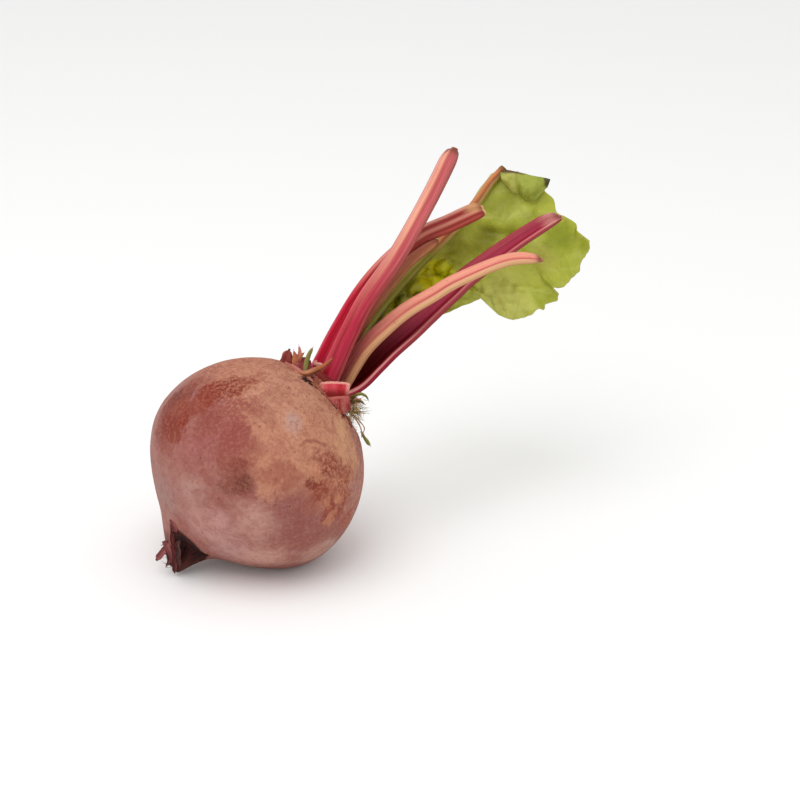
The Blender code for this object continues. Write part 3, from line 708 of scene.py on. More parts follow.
# %% Node tree: sweep
def make_sweep_tree():
    """Wraps a grid round a chain of stations. The grid's rows are the stations, its columns go round."""
    inputs = [
        ("Stations", "Geometry"),
        ("Sides", "Int", 48),
        ("Rib Number", "Float", 6.0),
        ("Rib Height", "Float", 0.0003),
        ("Seed", "Float", 0.0),
        ("Material", "Material"),
    ]
    tree, given, out = new_group("sweep", "GeometryNodeTree", inputs, [("Geometry", "Geometry")])
    stations = given["Stations"]
    count = place(
        tree, "GeometryNodeAttributeDomainSize", None, {"Geometry": stations},
    ).outputs["Point Count"]
    columns = plus(tree, given["Sides"], 1.0)
    sizes = {"Size X": 1.0, "Size Y": 1.0, "Vertices X": count, "Vertices Y": columns}
    grid = place(tree, "GeometryNodeMeshGrid", None, sizes).outputs["Mesh"]
    at = parts(tree, place(tree, "GeometryNodeInputPosition").outputs[0])
    last = minus(tree, count, 1.0)
    row = maths(tree, "ROUND", times(tree, plus(tree, at["X"], 0.5), last))
    turn = plus(tree, at["Y"], 0.5)

    def station(name, kind):
        socket = place(
            tree, "GeometryNodeInputNamedAttribute", {"data_type": kind}, {"Name": name},
        ).outputs[0]
        return sampled(socket, kind)

    def sampled(socket, kind):
        settings = {"data_type": kind, "domain": "POINT"}
        return place(
            tree, "GeometryNodeSampleIndex", settings, {"Geometry": stations, "Value": socket, "Index": row},
        ).outputs[0]

    centre = sampled(place(tree, "GeometryNodeInputPosition").outputs[0], "FLOAT_VECTOR")
    size = parts(tree, station("size", "FLOAT_VECTOR"))
    shrink = station("shrink", "FLOAT")
    along = station("along", "FLOAT")
    angle = times(tree, turn, 2.0 * math.pi)
    cosine, sine = maths(tree, "COSINE", angle), maths(tree, "SINE", angle)
    half_width = times(tree, size["X"], 0.5)
    x = times(tree, cosine, half_width)
    # the grooved side is squarer than the round back, and has a dip in its middle
    upper = maths(tree, "POWER", maths(tree, "MAXIMUM", sine, 0.0), 0.6)
    lower = maths(tree, "MINIMUM", sine, 0.0)
    rise = times(tree, plus(tree, upper, lower), times(tree, size["Y"], 0.5))
    across = maths(tree, "DIVIDE", cosine, 0.48)
    dip = maths(tree, "EXPONENT", times(tree, times(tree, across, across), -1.0))
    dip = times(tree, dip, times(tree, size["Z"], size["Y"]))
    dip = times(tree, dip, fade(tree, sine, 0.0, 0.2))
    # a curl lifts both edges towards the grooved side, as on a leaf base that clasps the crown
    curl = times(tree, times(tree, cosine, cosine), station("curl", "FLOAT"))
    y = plus(tree, minus(tree, rise, dip), curl)
    # ribs: noise that is drawn out along the stalk
    ring = joined(
        tree, times(tree, cosine, given["Rib Number"]), times(tree, sine, given["Rib Number"]),
        plus(tree, times(tree, along, 1.6), given["Seed"]),
    )
    rib = times(tree, minus(tree, cloud(tree, ring, 1.0, 2.0, 0.6), 0.5), given["Rib Height"])
    rib = times(tree, rib, 2.0)
    x = times(tree, plus(tree, x, times(tree, cosine, rib)), shrink)
    y = times(tree, plus(tree, y, times(tree, sine, rib)), shrink)
    point = vector_maths(tree, "ADD", centre, scaled(tree, station("across", "FLOAT_VECTOR"), x))
    point = vector_maths(tree, "ADD", point, scaled(tree, station("facing", "FLOAT_VECTOR"), y))
    point = vector_maths(tree, "ADD", point, scaled(tree, station("lean", "FLOAT_VECTOR"), y))
    store = {"data_type": "FLOAT2", "domain": "CORNER"}
    mapped = place(
        tree, "GeometryNodeStoreNamedAttribute", store,
        {"Geometry": grid, "Name": "UVMap", "Value": joined(tree, along, turn, 0.0)},
    ).outputs[0]
    bent = place(tree, "GeometryNodeSetPosition", None, {"Geometry": mapped, "Position": point}).outputs[0]
    closed = place(
        tree, "GeometryNodeMergeByDistance", None, {"Geometry": bent, "Distance": 0.000002},
    ).outputs[0]
    smooth = place(
        tree, "GeometryNodeSetShadeSmooth", None, {"Geometry": closed, "Shade Smooth": True},
    ).outputs[0]
    real = place(tree, "GeometryNodeRealizeInstances", None, {"Geometry": smooth}).outputs[0]
    made = place(
        tree, "GeometryNodeSetMaterial", None, {"Geometry": real, "Material": given["Material"]},
    ).outputs[0]
    tree.links.new(made, out["Geometry"])
    return tree


SWEEP = make_sweep_tree()
print("tree:", SWEEP.name, "with", len(SWEEP.nodes), "nodes")


# %% From a tree to a mesh
def grown(name, start, tree, **values):
    """Runs a node tree on a mesh and keeps what it makes as a plain mesh."""
    holder = add_object(name, start)
    modifier = holder.modifiers.new("rule", "NODES")
    modifier.node_group = tree
    for item in tree.interface.items_tree:
        title = item.name.replace(" ", "_")
        if item.item_type == "SOCKET" and item.in_out == "INPUT" and title in values:
            modifier[item.identifier] = values[title]
    graph = bpy.context.evaluated_depsgraph_get()
    result = bpy.data.meshes.new_from_object(holder.evaluated_get(graph))
    holder.modifiers.remove(modifier)
    holder.data = result
    result.name = name
    bpy.data.meshes.remove(start)
    return holder


# %% [markdown]
# Each stalk's route is a smooth curve through a few points that were read off the photograph, on or close to
# those of the solid. The groove's direction stays the same along a stalk, only kept square to the
# route, so that a stalk doesn't twist. At the foot the stalk flares, where it clasps the crown. The last
# stations lean over to cut the end at a slant, and shrink to nothing to close it with a slightly hollow face.

# %% Stations of a stalk
STATION_GAP = 0.75  # millimetres between stations
FLARE = 0.12
FLARE_LENGTH = 9.0
SLANT_LENGTH = 2.5  # the stretch before the cut that leans over
FEWEST_STATIONS = 12
CUT_MAP = 0.1  # how far the map runs on over the cut face
CURVE_STEPS = 12
# how far the closing stations lie past the cut, in millimetres, and their share of the full section
CLOSING = ((0.16, 0.985), (0.26, 0.93), (0.22, 0.8), (0.02, 0.66), (-0.14, 0.45), (-0.2, 0.2), (-0.2, 0.0))


def curve_through(a, b, c, d, t):
    """The point a share t of the way from b to c on a curve that also heeds the points a and d."""
    slow = (2 * a - 5 * b + 4 * c - d) * t**2
    fast = (3 * b - a - 3 * c + d) * t**3
    return 0.5 * (2 * b + (c - a) * t + slow + fast)


def smooth_path(points, count):
    """Evenly spaced points on a smooth curve through the given ones."""
    knots = [Vector(p) for p in points]
    ends = [knots[0] * 2 - knots[1], *knots, knots[-1] * 2 - knots[-2]]
    fine = []
    for a, b, c, d in zip(ends, ends[1:], ends[2:], ends[3:]):
        fine.extend(curve_through(a, b, c, d, step / CURVE_STEPS) for step in range(CURVE_STEPS))
    fine.append(knots[-1])
    lengths = np.cumsum([0.0] + [(q - p).length for p, q in zip(fine, fine[1:])])
    wanted = np.linspace(0.0, lengths[-1], count)
    columns = [np.interp(wanted, lengths, [p[axis] for p in fine]) for axis in range(3)]
    return [Vector(p) for p in zip(*columns)], float(lengths[-1])


def store(mesh, title, kind, field, values):
    """Keeps a number or a vector for each point of a mesh."""
    attribute = mesh.attributes.new(title, kind, "POINT")
    attribute.data.foreach_set(field, np.array(values, dtype=np.float32).ravel())


def stations_mesh(name, spec):
    """A chain of points with the attributes that the sweep tree reads."""
    length = smooth_path(spec["route"], 2)[1]
    count = max(FEWEST_STATIONS, int(length / spec.get("gap", STATION_GAP)))
    path = smooth_path(spec["route"], count)[0]
    tip, narrow, sideways, faceways = spec.get("tip", (1.0, 1.0, 0.0, 0.0))
    rows = []
    for i, centre in enumerate(path):
        tangent = (path[min(i + 1, count - 1)] - path[max(i - 1, 0)]).normalized()
        share = i / (count - 1)
        facing = Vector(spec["faces"])
        facing = (facing - tangent * facing.dot(tangent)).normalized()
        across = facing.cross(tangent)
        flare = 1.0 + spec.get("flare", FLARE) * math.exp(-share * length / FLARE_LENGTH)
        width = (spec["width"][0] + (spec["width"][1] - spec["width"][0]) * share) * flare
        thick = spec["thick"][0] + (spec["thick"][1] - spec["thick"][0]) * share
        near_cut = max(0.0, 1.0 - (1.0 - share) * length / SLANT_LENGTH) ** 2
        # a worn tip gets narrower along a quarter circle, towards one of its sides
        into_tip = max(0.0, 1.0 - (1.0 - share) * length / tip)
        full = narrow + (1.0 - narrow) * math.sqrt(max(0.0, 1.0 - into_tip**2))
        centre = centre + (across * sideways * width + facing * faceways * thick) * 0.5 * (1.0 - full)
        rows.append((centre, across, facing, tangent * spec["slant"] * near_cut, (width, thick), full, share))
    centre, across, facing, lean, size, full, _ = rows[-1]
    tangent = (path[-1] - path[-2]).normalized()
    past = 0.0
    for push, shrink in CLOSING:
        past += push
        rows.append((
            centre + tangent * past, across, facing, lean, size, full * shrink,
            1.0 + CUT_MAP * (1.0 - shrink),
        ))
    first = rows[0]
    rows.insert(0, (*first[:5], 0.0, 0.0))
    mesh = bpy.data.meshes.new(name)
    edges = [(i, i + 1) for i in range(len(rows) - 1)]
    mesh.from_pydata([row[0] * MM for row in rows], edges, [])
    vectors = {
        "across": [row[1] for row in rows],
        "facing": [row[2] for row in rows],
        "lean": [row[3] for row in rows],
        "size": [(row[4][0] * MM, row[4][1] * MM, spec["channel"]) for row in rows],
    }
    for title, values in vectors.items():
        store(mesh, title, "FLOAT_VECTOR", "vector", values)
    curls = spec.get("curl", (0.0, 0.0))
    numbers = {
        "shrink": [row[5] for row in rows],
        "along": [row[6] for row in rows],
        "curl": [(curls[0] + (curls[1] - curls[0]) * min(1.0, row[6])) * MM for row in rows],
    }
    for title, values in numbers.items():
        store(mesh, title, "FLOAT", "value", values)
    return mesh


print("closing stations:", len(CLOSING))

# %% Routes and sizes
STALKS = {
    "tall": {
        "route": (
            (19.6, 9.8, 60), (27, 15.5, 75.5), (34, 21.5, 88), (45, 29, 102.5), (56, 38, 120),
            (65, 46.8, 136.2),
        ),
        "faces": (0.75, 0.6, -0.2), "width": (8.6, 6.8), "thick": (4.6, 5.2), "channel": 0.30, "slant": 0.1,
        "tip": (6.0, 0.4, 0.25, 0.1),
    },
    "bent": {
        "route": (
            (16.4, 18, 60.5), (23.5, 24.5, 73.5), (31, 31, 85), (37.5, 35.5, 92.5), (44.5, 39, 98.8),
            (53, 42.5, 104.7), (64.5, 46, 109), (75.5, 49.5, 113.3),
        ),
        "faces": (0.35, -0.75, 0.45), "width": (6.8, 6.6), "thick": (4.4, 4.8), "channel": 0.34, "slant": 0.1,
        "tip": (5.0, 0.6, -0.6, 0.0),
    },
    "pale": {
        "route": (
            (25, 15.4, 58.5), (33, 18, 70.5), (41.5, 20, 78.7), (49, 21, 84.7), (58, 22, 90),
            (66.5, 22.8, 95), (83.5, 25.2, 101.5), (96, 25.7, 102.5),
        ),
        "faces": (-0.35, -0.65, 0.65), "width": (7.2, 4.4), "thick": (4, 3.2), "channel": 0.22, "slant": -0.2,
        "tip": (9.0, 0.3, -0.7, 0.0),
    },
    "crimson": {
        "route": (
            (24.4, 16.6, 57.2), (31.2, 19.2, 59.2), (37.2, 22.2, 63.9), (42.9, 25.2, 68.6), (50.4, 29, 74),
            (57.9, 32.8, 80), (65.4, 36.3, 86), (72.2, 39.4, 91.3), (87.6, 44.6, 101.6), (103.3, 49.4, 110.7),
        ),
        "faces": (-0.45, -0.7, 0.55), "width": (12, 5.8), "thick": (5, 4.2), "channel": 0.52, "slant": 0.15,
        "curl": (2.0, 0.6), "tip": (7.5, 0.4, -0.75, 0.0),
    },
    "slim": {
        "route": (
            (22.2, 18.6, 60.7), (30.0, 24.2, 73.9), (38.5, 29.4, 85.7), (47.6, 34.6, 95.8),
            (53.3, 37.8, 100.2), (60.0, 40.4, 103.9),
        ),
        "faces": (0.3, -0.8, 0.3), "width": (4.8, 3.6), "thick": (2.8, 2.2), "channel": 0.3, "slant": 0.1,
        "tip": (9.0, 0.25, 0.3, 0.0),
    },
    "rib": {
        "route": (
            (21.9, 22.6, 59.2), (31.5, 33, 71.3), (41, 41.7, 81), (50.9, 48.7, 90.1), (60, 54, 98),
            (68.1, 58.1, 105.5), (74.8, 62.1, 112.7), (79.2, 64.9, 118.3), (84, 67.3, 122.9),
        ),
        "faces": (0.15, 0.85, -0.35), "width": (5, 3), "thick": (4.2, 2.6), "channel": 0.12, "slant": 0,
    },
}


def turn_to_camera(spec):
    """Which part of the turn shows in the middle of the stalk, from 0 to 1, halfway along."""
    middle = 10
    path = smooth_path(spec["route"], 2 * middle + 1)[0]
    tangent = (path[middle + 1] - path[middle - 1]).normalized()
    facing = Vector(spec["faces"])
    facing = (facing - tangent * facing.dot(tangent)).normalized()
    across = facing.cross(tangent)
    to_camera = (CAMERA_PLACE / MM - path[middle]).normalized()
    # the outline is where the section reaches furthest to the side
    sideways = tangent.cross(to_camera).normalized()
    wide, thick = (spec["width"][0] + spec["width"][1]) / 2, (spec["thick"][0] + spec["thick"][1]) / 2
    right = math.atan2(thick * facing.dot(sideways), wide * across.dot(sideways))
    return (right / (2.0 * math.pi) - 0.25) % 1.0


for name, spec in STALKS.items():
    print(f"{name}: {turn_to_camera(spec):.2f} of a turn faces the camera")

# %% [markdown]
# ## The skin of the stalks
#
# Stalks are striped lengthwise: the ribs are pale, the skin between them is pink or crimson, and the colour
# deepens towards the crown. A stripe is a place on the turn round the stalk, so two colour ramps over that
# turn, one for the foot and one for the top, hold the whole pattern. Noise drawn out along the stalk bends
# the stripes a little and adds fibres. The cut face shows paler flesh with a brown, dried heart.


# %% Group: stalk turn and fibres
def make_fibre_group():
    """Reads the map of a stalk: how far along, which turn counted from the side in front, and fibres."""
    inputs = [("Map", "Vector"), ("Front", "Float", 0.0), ("Number", "Float", 9.0), ("Seed", "Float", 0.0)]
    outputs = [("Along", "Float"), ("Stripe", "Float"), ("Fibres", "Float"), ("Streaks", "Float")]
    group, given, out = new_group("stalk fibres", "ShaderNodeTree", inputs, outputs)
    at = parts(group, given["Map"])
    angle = times(group, at["Y"], 2.0 * math.pi)
    cosine = times(group, maths(group, "COSINE", angle), given["Number"])
    sine = times(group, maths(group, "SINE", angle), given["Number"])
    ring = joined(group, cosine, sine, plus(group, times(group, at["X"], 3.0), given["Seed"]))
    streaks = cloud(group, ring, 0.45, 2.0, 0.5)
    fibres = cloud(group, ring, 1.6, 3.0, 0.6)
    wander = times(group, minus(group, streaks, 0.5), 0.05)
    shifted = plus(group, minus(group, at["Y"], given["Front"]), plus(group, wander, 1.5))
    stripe = maths(group, "FRACT", shifted)
    group.links.new(at["X"], out["Along"])
    group.links.new(stripe, out["Stripe"])
    group.links.new(fibres, out["Fibres"])
    group.links.new(streaks, out["Streaks"])
    return group


FIBRES = make_fibre_group()


def ramp(tree, value, stops):
    """A colour ramp over the turn. Each stop is a share of the width that shows and a screen colour."""
    made = place(tree, "ShaderNodeValToRGB", None, {"Fac": value})
    elements = made.color_ramp.elements
    while len(elements) < len(stops):
        elements.new(0.5)
    for element, (share, colour) in zip(elements, stops):
        element.position = 0.25 + math.acos(1.0 - 2.0 * share) / (2.0 * math.pi)
        element.color = paint(*colour)
    return made.outputs["Color"]


def stalk_material(
    name, front, low, high, flesh=(214, 160, 130), heart=(96, 52, 34), seed=0.0,
    shine=0.36, turnover=(0.1, 0.6), paleness=0.25, gloss=0.3, lip=None,
):
    """Striped skin. Low and high list its colours from left to right, at the foot and at the top.

    Front is the turn that faces the camera, turnover is where low gives way to high, and lip is the colour of
    the last stretch before the cut (a dried end; on the crimson stalk a painted highlight), where it begins,
    how far round it reaches and how much it covers.
    """
    material, tree, shader = new_material(name, Specular_IOR_Level=gloss)
    texture = place(tree, "ShaderNodeTexCoord").outputs
    read = use_group(tree, FIBRES, {"Map": texture["UV"], "Front": front, "Seed": seed})
    share = fade(tree, read["Along"], turnover[0], turnover[1])
    colour = blend(tree, share, ramp(tree, read["Stripe"], low), ramp(tree, read["Stripe"], high))
    dark = times(tree, fade(tree, read["Fibres"], 0.48, 0.72), 0.5)
    colour = blend(tree, dark, colour, (0.55, 0.25, 0.28, 1.0), "MULTIPLY")
    pale = times(tree, fade(tree, read["Fibres"], 0.46, 0.26), paleness)
    colour = coat(tree, colour, pale, (238, 170, 156))
    specks = fade(tree, cloud(tree, texture["Object"], 700.0, 2.0, 0.5), 0.68, 0.76)
    colour = coat(tree, colour, specks, (120, 60, 44), 0.3)
    if lip:
        # the last stretch before the cut, which dries to another colour with an uneven start
        # (on the crimson stalk this coat is a painted highlight instead)
        tint, begins, upper, cover = lip
        uneven = plus(tree, read["Along"], times(tree, minus(tree, read["Fibres"], 0.5), 0.16))
        dried = times(
            tree, fade(tree, uneven, begins, begins + 0.03), fade(tree, read["Stripe"], upper + 0.06, upper),
        )
        colour = coat(tree, colour, dried, tint, cover)
    # the cut end: a dry brown line at its edge, flesh, and a dark heart
    cut = fade(tree, read["Along"], 0.998, 1.003)
    dry = fade(tree, read["Along"], 0.972, 0.998)
    colour = coat(tree, colour, dry, heart, 0.55)
    inside = blend(tree, fade(tree, read["Along"], 1.02, 1.06), paint(*flesh), paint(*heart))
    grain = cloud(tree, texture["Object"], 900.0, 3.0, 0.6)
    inside = blend(tree, fade(tree, grain, 0.45, 0.7, 0.0, 0.6), inside, paint(*heart))
    colour = blend(tree, cut, colour, inside)
    tree.links.new(colour, shader.inputs["Base Color"])
    rough = fade(tree, read["Fibres"], 0.3, 0.7, shine, shine + 0.16)
    tree.links.new(maths(tree, "ADD", rough, times(tree, cut, 0.3), clamp=True), shader.inputs["Roughness"])
    height = plus(tree, read["Fibres"], times(tree, read["Streaks"], 1.5))
    add_bump(tree, shader, height, 0.0005, 0.35)
    return material


print("group:", FIBRES.name)

# %% Colours of each stalk
STRIPES = {
    "tall": {
        "low": (
            (0.0, (228, 100, 108)), (0.12, (196, 58, 76)), (0.24, (156, 16, 42)), (0.4, (190, 46, 76)),
            (0.55, (174, 32, 64)), (0.7, (176, 42, 68)), (0.85, (146, 24, 40)), (0.96, (168, 62, 70)),
        ),
        "high": (
            (0.0, (196, 130, 122)), (0.08, (242, 176, 162)), (0.2, (246, 178, 156)), (0.32, (248, 180, 156)),
            (0.4, (220, 138, 122)),
            (0.5, (188, 94, 90)), (0.62, (196, 96, 100)), (0.74, (208, 108, 112)), (0.88, (200, 112, 110)),
            (1.0, (150, 80, 72)),
        ),
    },
    "bent": {
        "low": (
            (0.0, (208, 96, 108)), (0.12, (200, 40, 76)), (0.24, (196, 18, 58)), (0.36, (222, 76, 98)),
            (0.52, (226, 82, 98)), (0.68, (204, 52, 80)), (0.84, (224, 96, 112)), (1.0, (230, 120, 126)),
        ),
        "high": (
            (0.0, (224, 152, 142)), (0.12, (242, 176, 158)), (0.26, (170, 74, 72)), (0.38, (156, 60, 60)),
            (0.5, (224, 152, 136)), (0.6, (228, 154, 136)), (0.72, (154, 62, 58)), (0.86, (180, 88, 80)),
            (1.0, (140, 60, 46)),
        ),
    },
    "pale": {
        "low": (
            (0.0, (176, 104, 94)), (0.2, (160, 76, 72)), (0.35, (192, 112, 104)), (0.5, (194, 130, 106)),
            (0.65, (212, 160, 122)), (0.8, (206, 156, 116)), (1.0, (160, 104, 76)),
        ),
        "high": (
            (0.0, (236, 158, 134)), (0.18, (250, 176, 154)), (0.34, (238, 152, 136)), (0.45, (198, 98, 92)),
            (0.56, (238, 174, 150)), (0.72, (228, 180, 140)), (0.88, (230, 184, 138)), (1.0, (186, 116, 84)),
        ),
    },
    "crimson": {
        # painted light and shade over the stalk's own crimson, in both ramps: the channel is painted near black for
        # the shade in it, and the rim pale pink where light catches it
        "low": (
            (0.0, (78, 0, 4)), (0.3, (78, 0, 4)), (0.5, (88, 0, 14)), (0.64, (100, 4, 20)),
            (0.69, (130, 30, 44)), (0.74, (232, 150, 146)), (0.82, (250, 196, 188)), (0.87, (176, 72, 88)),
            (0.94, (150, 48, 64)), (1.0, (130, 50, 56)),
        ),
        "high": (
            (0.0, (160, 76, 78)), (0.12, (186, 92, 104)), (0.3, (186, 82, 102)), (0.46, (156, 52, 66)),
            (0.58, (146, 52, 60)),
            (0.68, (190, 100, 108)), (0.76, (224, 146, 144)), (0.86, (178, 90, 96)), (1.0, (140, 72, 68)),
        ),
    },
    "slim": {
        "low": (
            (0.0, (200, 110, 104)), (0.25, (150, 60, 58)), (0.5, (176, 90, 80)), (0.75, (140, 64, 52)),
            (1.0, (110, 44, 34)),
        ),
        "high": (
            (0.0, (214, 144, 122)), (0.25, (172, 102, 80)), (0.5, (170, 102, 76)), (0.75, (194, 132, 96)),
            (1.0, (132, 82, 46)),
        ),
    },
    "rib": {
        "low": (
            (0.0, (150, 150, 56)), (0.3, (166, 168, 74)), (0.5, (126, 122, 38)), (0.75, (146, 144, 56)),
            (1.0, (96, 90, 20)),
        ),
        "high": (
            (0.0, (204, 146, 94)), (0.22, (218, 148, 102)), (0.42, (194, 114, 74)), (0.55, (160, 98, 62)),
            (0.75, (196, 158, 100)), (1.0, (180, 164, 96)),
        ),
    },
}
ENDS = {
    "tall": {
        "flesh": (150, 90, 70), "heart": (104, 42, 30), "turnover": (0.2, 0.75),
        "lip": ((138, 80, 62), 0.965, 0.95, 0.8),
    },
    "bent": {
        "flesh": (236, 190, 150), "heart": (128, 58, 48), "turnover": (0.3, 0.66), "gloss": 0.15,
        "paleness": 0.12, "lip": ((226, 176, 132), 0.925, 0.5, 0.85),
    },
    "pale": {"flesh": (190, 130, 100), "heart": (90, 50, 34), "lip": ((150, 84, 70), 0.965, 0.95, 0.75)},
    # the crimson stalk's lip is a painted highlight near its cut end
    "crimson": {
        "flesh": (216, 150, 130), "heart": (120, 44, 44), "turnover": (0.12, 0.5), "paleness": 0.04,
        "gloss": 0.03,
        "shine": 0.5, "lip": ((230, 176, 166), 0.93, 0.6, 0.6),
    },
    "slim": {"flesh": (200, 150, 110), "heart": (120, 70, 50), "lip": ((120, 50, 44), 0.965, 0.95, 0.8)},
    "rib": {"flesh": (120, 90, 44), "heart": (60, 44, 22), "turnover": (0.55, 0.68)},
}
STALK_SEED_STEP = 3.7
# how high the ribs of each stalk are, in millimetres
STALK_SIDES = 72
RIB_NUMBER = 5.0
RIBS = {"tall": 0.42, "bent": 0.5, "pale": 0.24, "crimson": 0.3, "slim": 0.3, "rib": 0.2}


def add_stalk(name, seed):
    spec = STALKS[name]
    look = {**STRIPES[name], **ENDS[name]}
    material = stalk_material("skin_" + name, turn_to_camera(spec), seed=seed, **look)
    values = {"Sides": STALK_SIDES, "Rib_Number": RIB_NUMBER, "Rib_Height": RIBS[name] * MM}
    values.update({"Seed": seed, "Material": material})
    made = grown("fine_" + name, stations_mesh(name + "_stations", spec), SWEEP, **values)
    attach(made, "root")
    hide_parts("leaf_rib" if name == "rib" else "stalk_" + name)
    print(made.name, len(made.data.polygons), "faces")


for i, name in enumerate(STALKS):
    add_stalk(name, STALK_SEED_STEP * (i + 1))

# %% [markdown]
# ## The crown
#
# Between the stalks and the neck sits the crown: a low dome of leaf bases that grew together. Some leaves
# were cut off close to it and left short stubs, curled round the crown like a collar. The dome is a small
# round grid with ridges, and the stubs come from the same sweep tree as the stalks, with more curl.

# %% Crown dome
CROWN_PROFILE = ((9.6, -1.5), (9.9, 1.0), (9.4, 2.0), (7.4, 2.9), (4.0, 3.5), (0.0, 3.7))
CROWN_LOBES = 7
CROWN_LOBE_HEIGHT = 0.05
CROWN_RIDGE = 0.35
CROWN_GRAIN = 0.15
CROWN_SIDES = 120
CROWN_RINGS = 44
CROWN_FRAME = ROOT_FRAME @ Matrix.Translation((0.0, 0.0, NECK_HEIGHT * MM))


def crown_mesh():
    outline = smooth_path([(r, 0.0, z) for r, z in CROWN_PROFILE], CROWN_RINGS)[0]
    bm = bmesh.new()
    rings = []
    for point in outline[:-1]:
        ring = []
        for step in range(CROWN_SIDES):
            side = 2.0 * math.pi * step / CROWN_SIDES
            lobed = point.x * (1.0 + CROWN_LOBE_HEIGHT * math.cos(CROWN_LOBES * side))
            spot = Vector((lobed * math.cos(side), lobed * math.sin(side), point.z))
            ridges = noise.noise(Vector((math.cos(side) * 5.0, math.sin(side) * 5.0, point.z * 0.5)))
            lift = CROWN_RIDGE * ridges + CROWN_GRAIN * noise.noise(spot * 1.4)
            outward = Vector((math.cos(side), math.sin(side), 0.5)).normalized()
            ring.append(bm.verts.new(CROWN_FRAME @ ((spot + outward * lift) * MM)))
        rings.append(ring)
    for low, high in zip(rings, rings[1:]):
        for i in range(CROWN_SIDES):
            j = (i + 1) % CROWN_SIDES
            bm.faces.new((low[i], low[j], high[j], high[i]))
    top = bm.verts.new(CROWN_FRAME @ (outline[-1] * MM))
    for i in range(CROWN_SIDES):
        bm.faces.new((rings[-1][i], rings[-1][(i + 1) % CROWN_SIDES], top))
    bm.faces.new(list(reversed(rings[0])))
    mesh = finished_mesh("fine_crown", bm)
    mesh.shade_smooth()
    return mesh


def crown_material():
    material, tree, shader = new_material("crown_flesh", Roughness=0.6, Specular_IOR_Level=0.2)
    spot = place(tree, "ShaderNodeTexCoord").outputs["Object"]
    dark = cloud(tree, spot, 260.0, 4.0, 0.6)
    colour = blend(tree, fade(tree, dark, 0.3, 0.7), paint(150, 60, 54), paint(86, 24, 24))
    fibre = cloud(tree, spot, 800.0, 3.0, 0.6)
    colour = coat(tree, colour, fade(tree, fibre, 0.5, 0.75, 0.0, 0.5), (150, 96, 60))
    tree.links.new(colour, shader.inputs["Base Color"])
    add_bump(tree, shader, fibre, 0.0006, 0.6)
    return material


fine_crown = add_object("fine_crown", crown_mesh())
fine_crown.data.materials.append(crown_material())
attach(fine_crown, "root")
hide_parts("crown")
print("crown:", len(fine_crown.data.polygons), "faces")

# %% Stubs of cut leaves
STUBS = {
    # side round the crown, distance out, lean, width, thickness, height, curl
    "lower": (-62.0, 8.2, 50.0, 6.0, 1.6, 3.6, 1.0),
    "right": (-10.0, 8.2, 38.0, 7.4, 2.6, 5.0, 1.2),
    "back": (32.0, 7.6, 34.0, 6.6, 2.4, 6.2, 1.2),
    "upper": (172.0, 8.2, 46.0, 6.4, 2.2, 3.4, 1.0),
}
STUB_BASE = 1.2
STUB_SINK = 2.6
STUB_SIDES = 80
STUB_RIB = 0.45
STUB_SEED = 40.0
STUB_LOOK = {
    "flesh": (240, 180, 168), "heart": (196, 116, 104), "gloss": 0.12,
    "lip": ((240, 176, 164), 0.92, 0.95, 0.8),
}
STUB_STRIPES = {
    "low": (
        (0.0, (110, 36, 36)), (0.3, (150, 52, 54)), (0.5, (128, 40, 40)), (0.7, (150, 66, 58)),
        (1.0, (160, 92, 78)),
    ),
    "high": (
        (0.0, (180, 104, 90)), (0.3, (166, 76, 72)), (0.5, (146, 62, 58)), (0.7, (172, 90, 78)),
        (1.0, (190, 124, 102)),
    ),
}
# the collar that shows in front: a wide strip that curls round the stalks' feet
COLLAR = {
    "route": ((23.0, -3.8, 60.6), (23.1, -2.9, 61.8), (23.2, -1.8, 63.1), (23.3, 0.1, 64.6)),
    "faces": (0.05, 1.0, 0.0), "width": (9.6, 10.8), "thick": (1.6, 1.4), "channel": 0.12, "slant": 0.0,
    "flare": 0.0, "gap": 0.2, "curl": (0.9, 0.2),
}
COLLAR_STRIPES = {
    "low": (
        (0.0, (160, 80, 76)), (0.2, (136, 24, 30)), (0.5, (126, 6, 10)), (0.8, (124, 14, 18)),
        (0.93, (150, 66, 58)), (1.0, (190, 124, 108)),
    ),
    "high": (
        (0.0, (214, 140, 130)), (0.12, (224, 124, 122)), (0.3, (206, 80, 88)), (0.5, (212, 92, 100)),
        (0.68, (184, 54, 64)),
        (0.86, (200, 80, 86)), (0.94, (236, 164, 156)), (1.0, (220, 160, 148)),
    ),
}

# softer, torn tissue that shows below the collar
TISSUE = {
    "route": ((25.9, -5.6, 55.6), (25.6, -6.0, 57.3), (25.2, -5.9, 59.3), (24.9, -4.9, 61.2)),
    "faces": (-0.5, 1.0, 0.0), "width": (7.8, 8.8), "thick": (1.5, 1.3), "channel": 0.1, "slant": 0.0,
    "flare": 0.0, "gap": 0.2, "curl": (0.6, 0.4),
}
TISSUE_STRIPES = {
    "low": (
        (0.0, (166, 90, 80)), (0.25, (186, 116, 102)), (0.45, (138, 48, 48)), (0.65, (182, 108, 98)),
        (0.85, (128, 36, 38)), (1.0, (176, 100, 90)),
    ),
    "high": (
        (0.0, (134, 46, 46)), (0.25, (180, 96, 92)), (0.5, (146, 54, 58)), (0.75, (188, 108, 104)),
        (1.0, (142, 54, 54)),
    ),
    "flesh": (180, 104, 96), "lip": ((178, 100, 94), 0.92, 0.95, 0.8),
}


def stub_spec(side, out, lean, width, thick, height, curl):
    turn = CROWN_FRAME @ Matrix.Rotation(math.radians(side), 4, "Z")
    frame = turn @ Matrix.Translation((
        out * MM, 0.0, STUB_BASE * MM,
    )) @ Matrix.Rotation(math.radians(lean), 4, "Y")
    levels = np.linspace(-STUB_SINK, height, 5)
    return {
        "route": [tuple((frame @ Vector((0.0, 0.0, level * MM))) / MM) for level in levels],
        "faces": tuple(frame.to_3x3() @ Vector((-1.0, 0.0, 0.0))),
        "width": (width * 1.04, width * 0.88), "thick": (thick, thick * 0.8), "channel": 0.2, "slant": 0.0,
        "flare": 0.0, "gap": 0.25, "curl": (curl, curl * 1.2),
    }


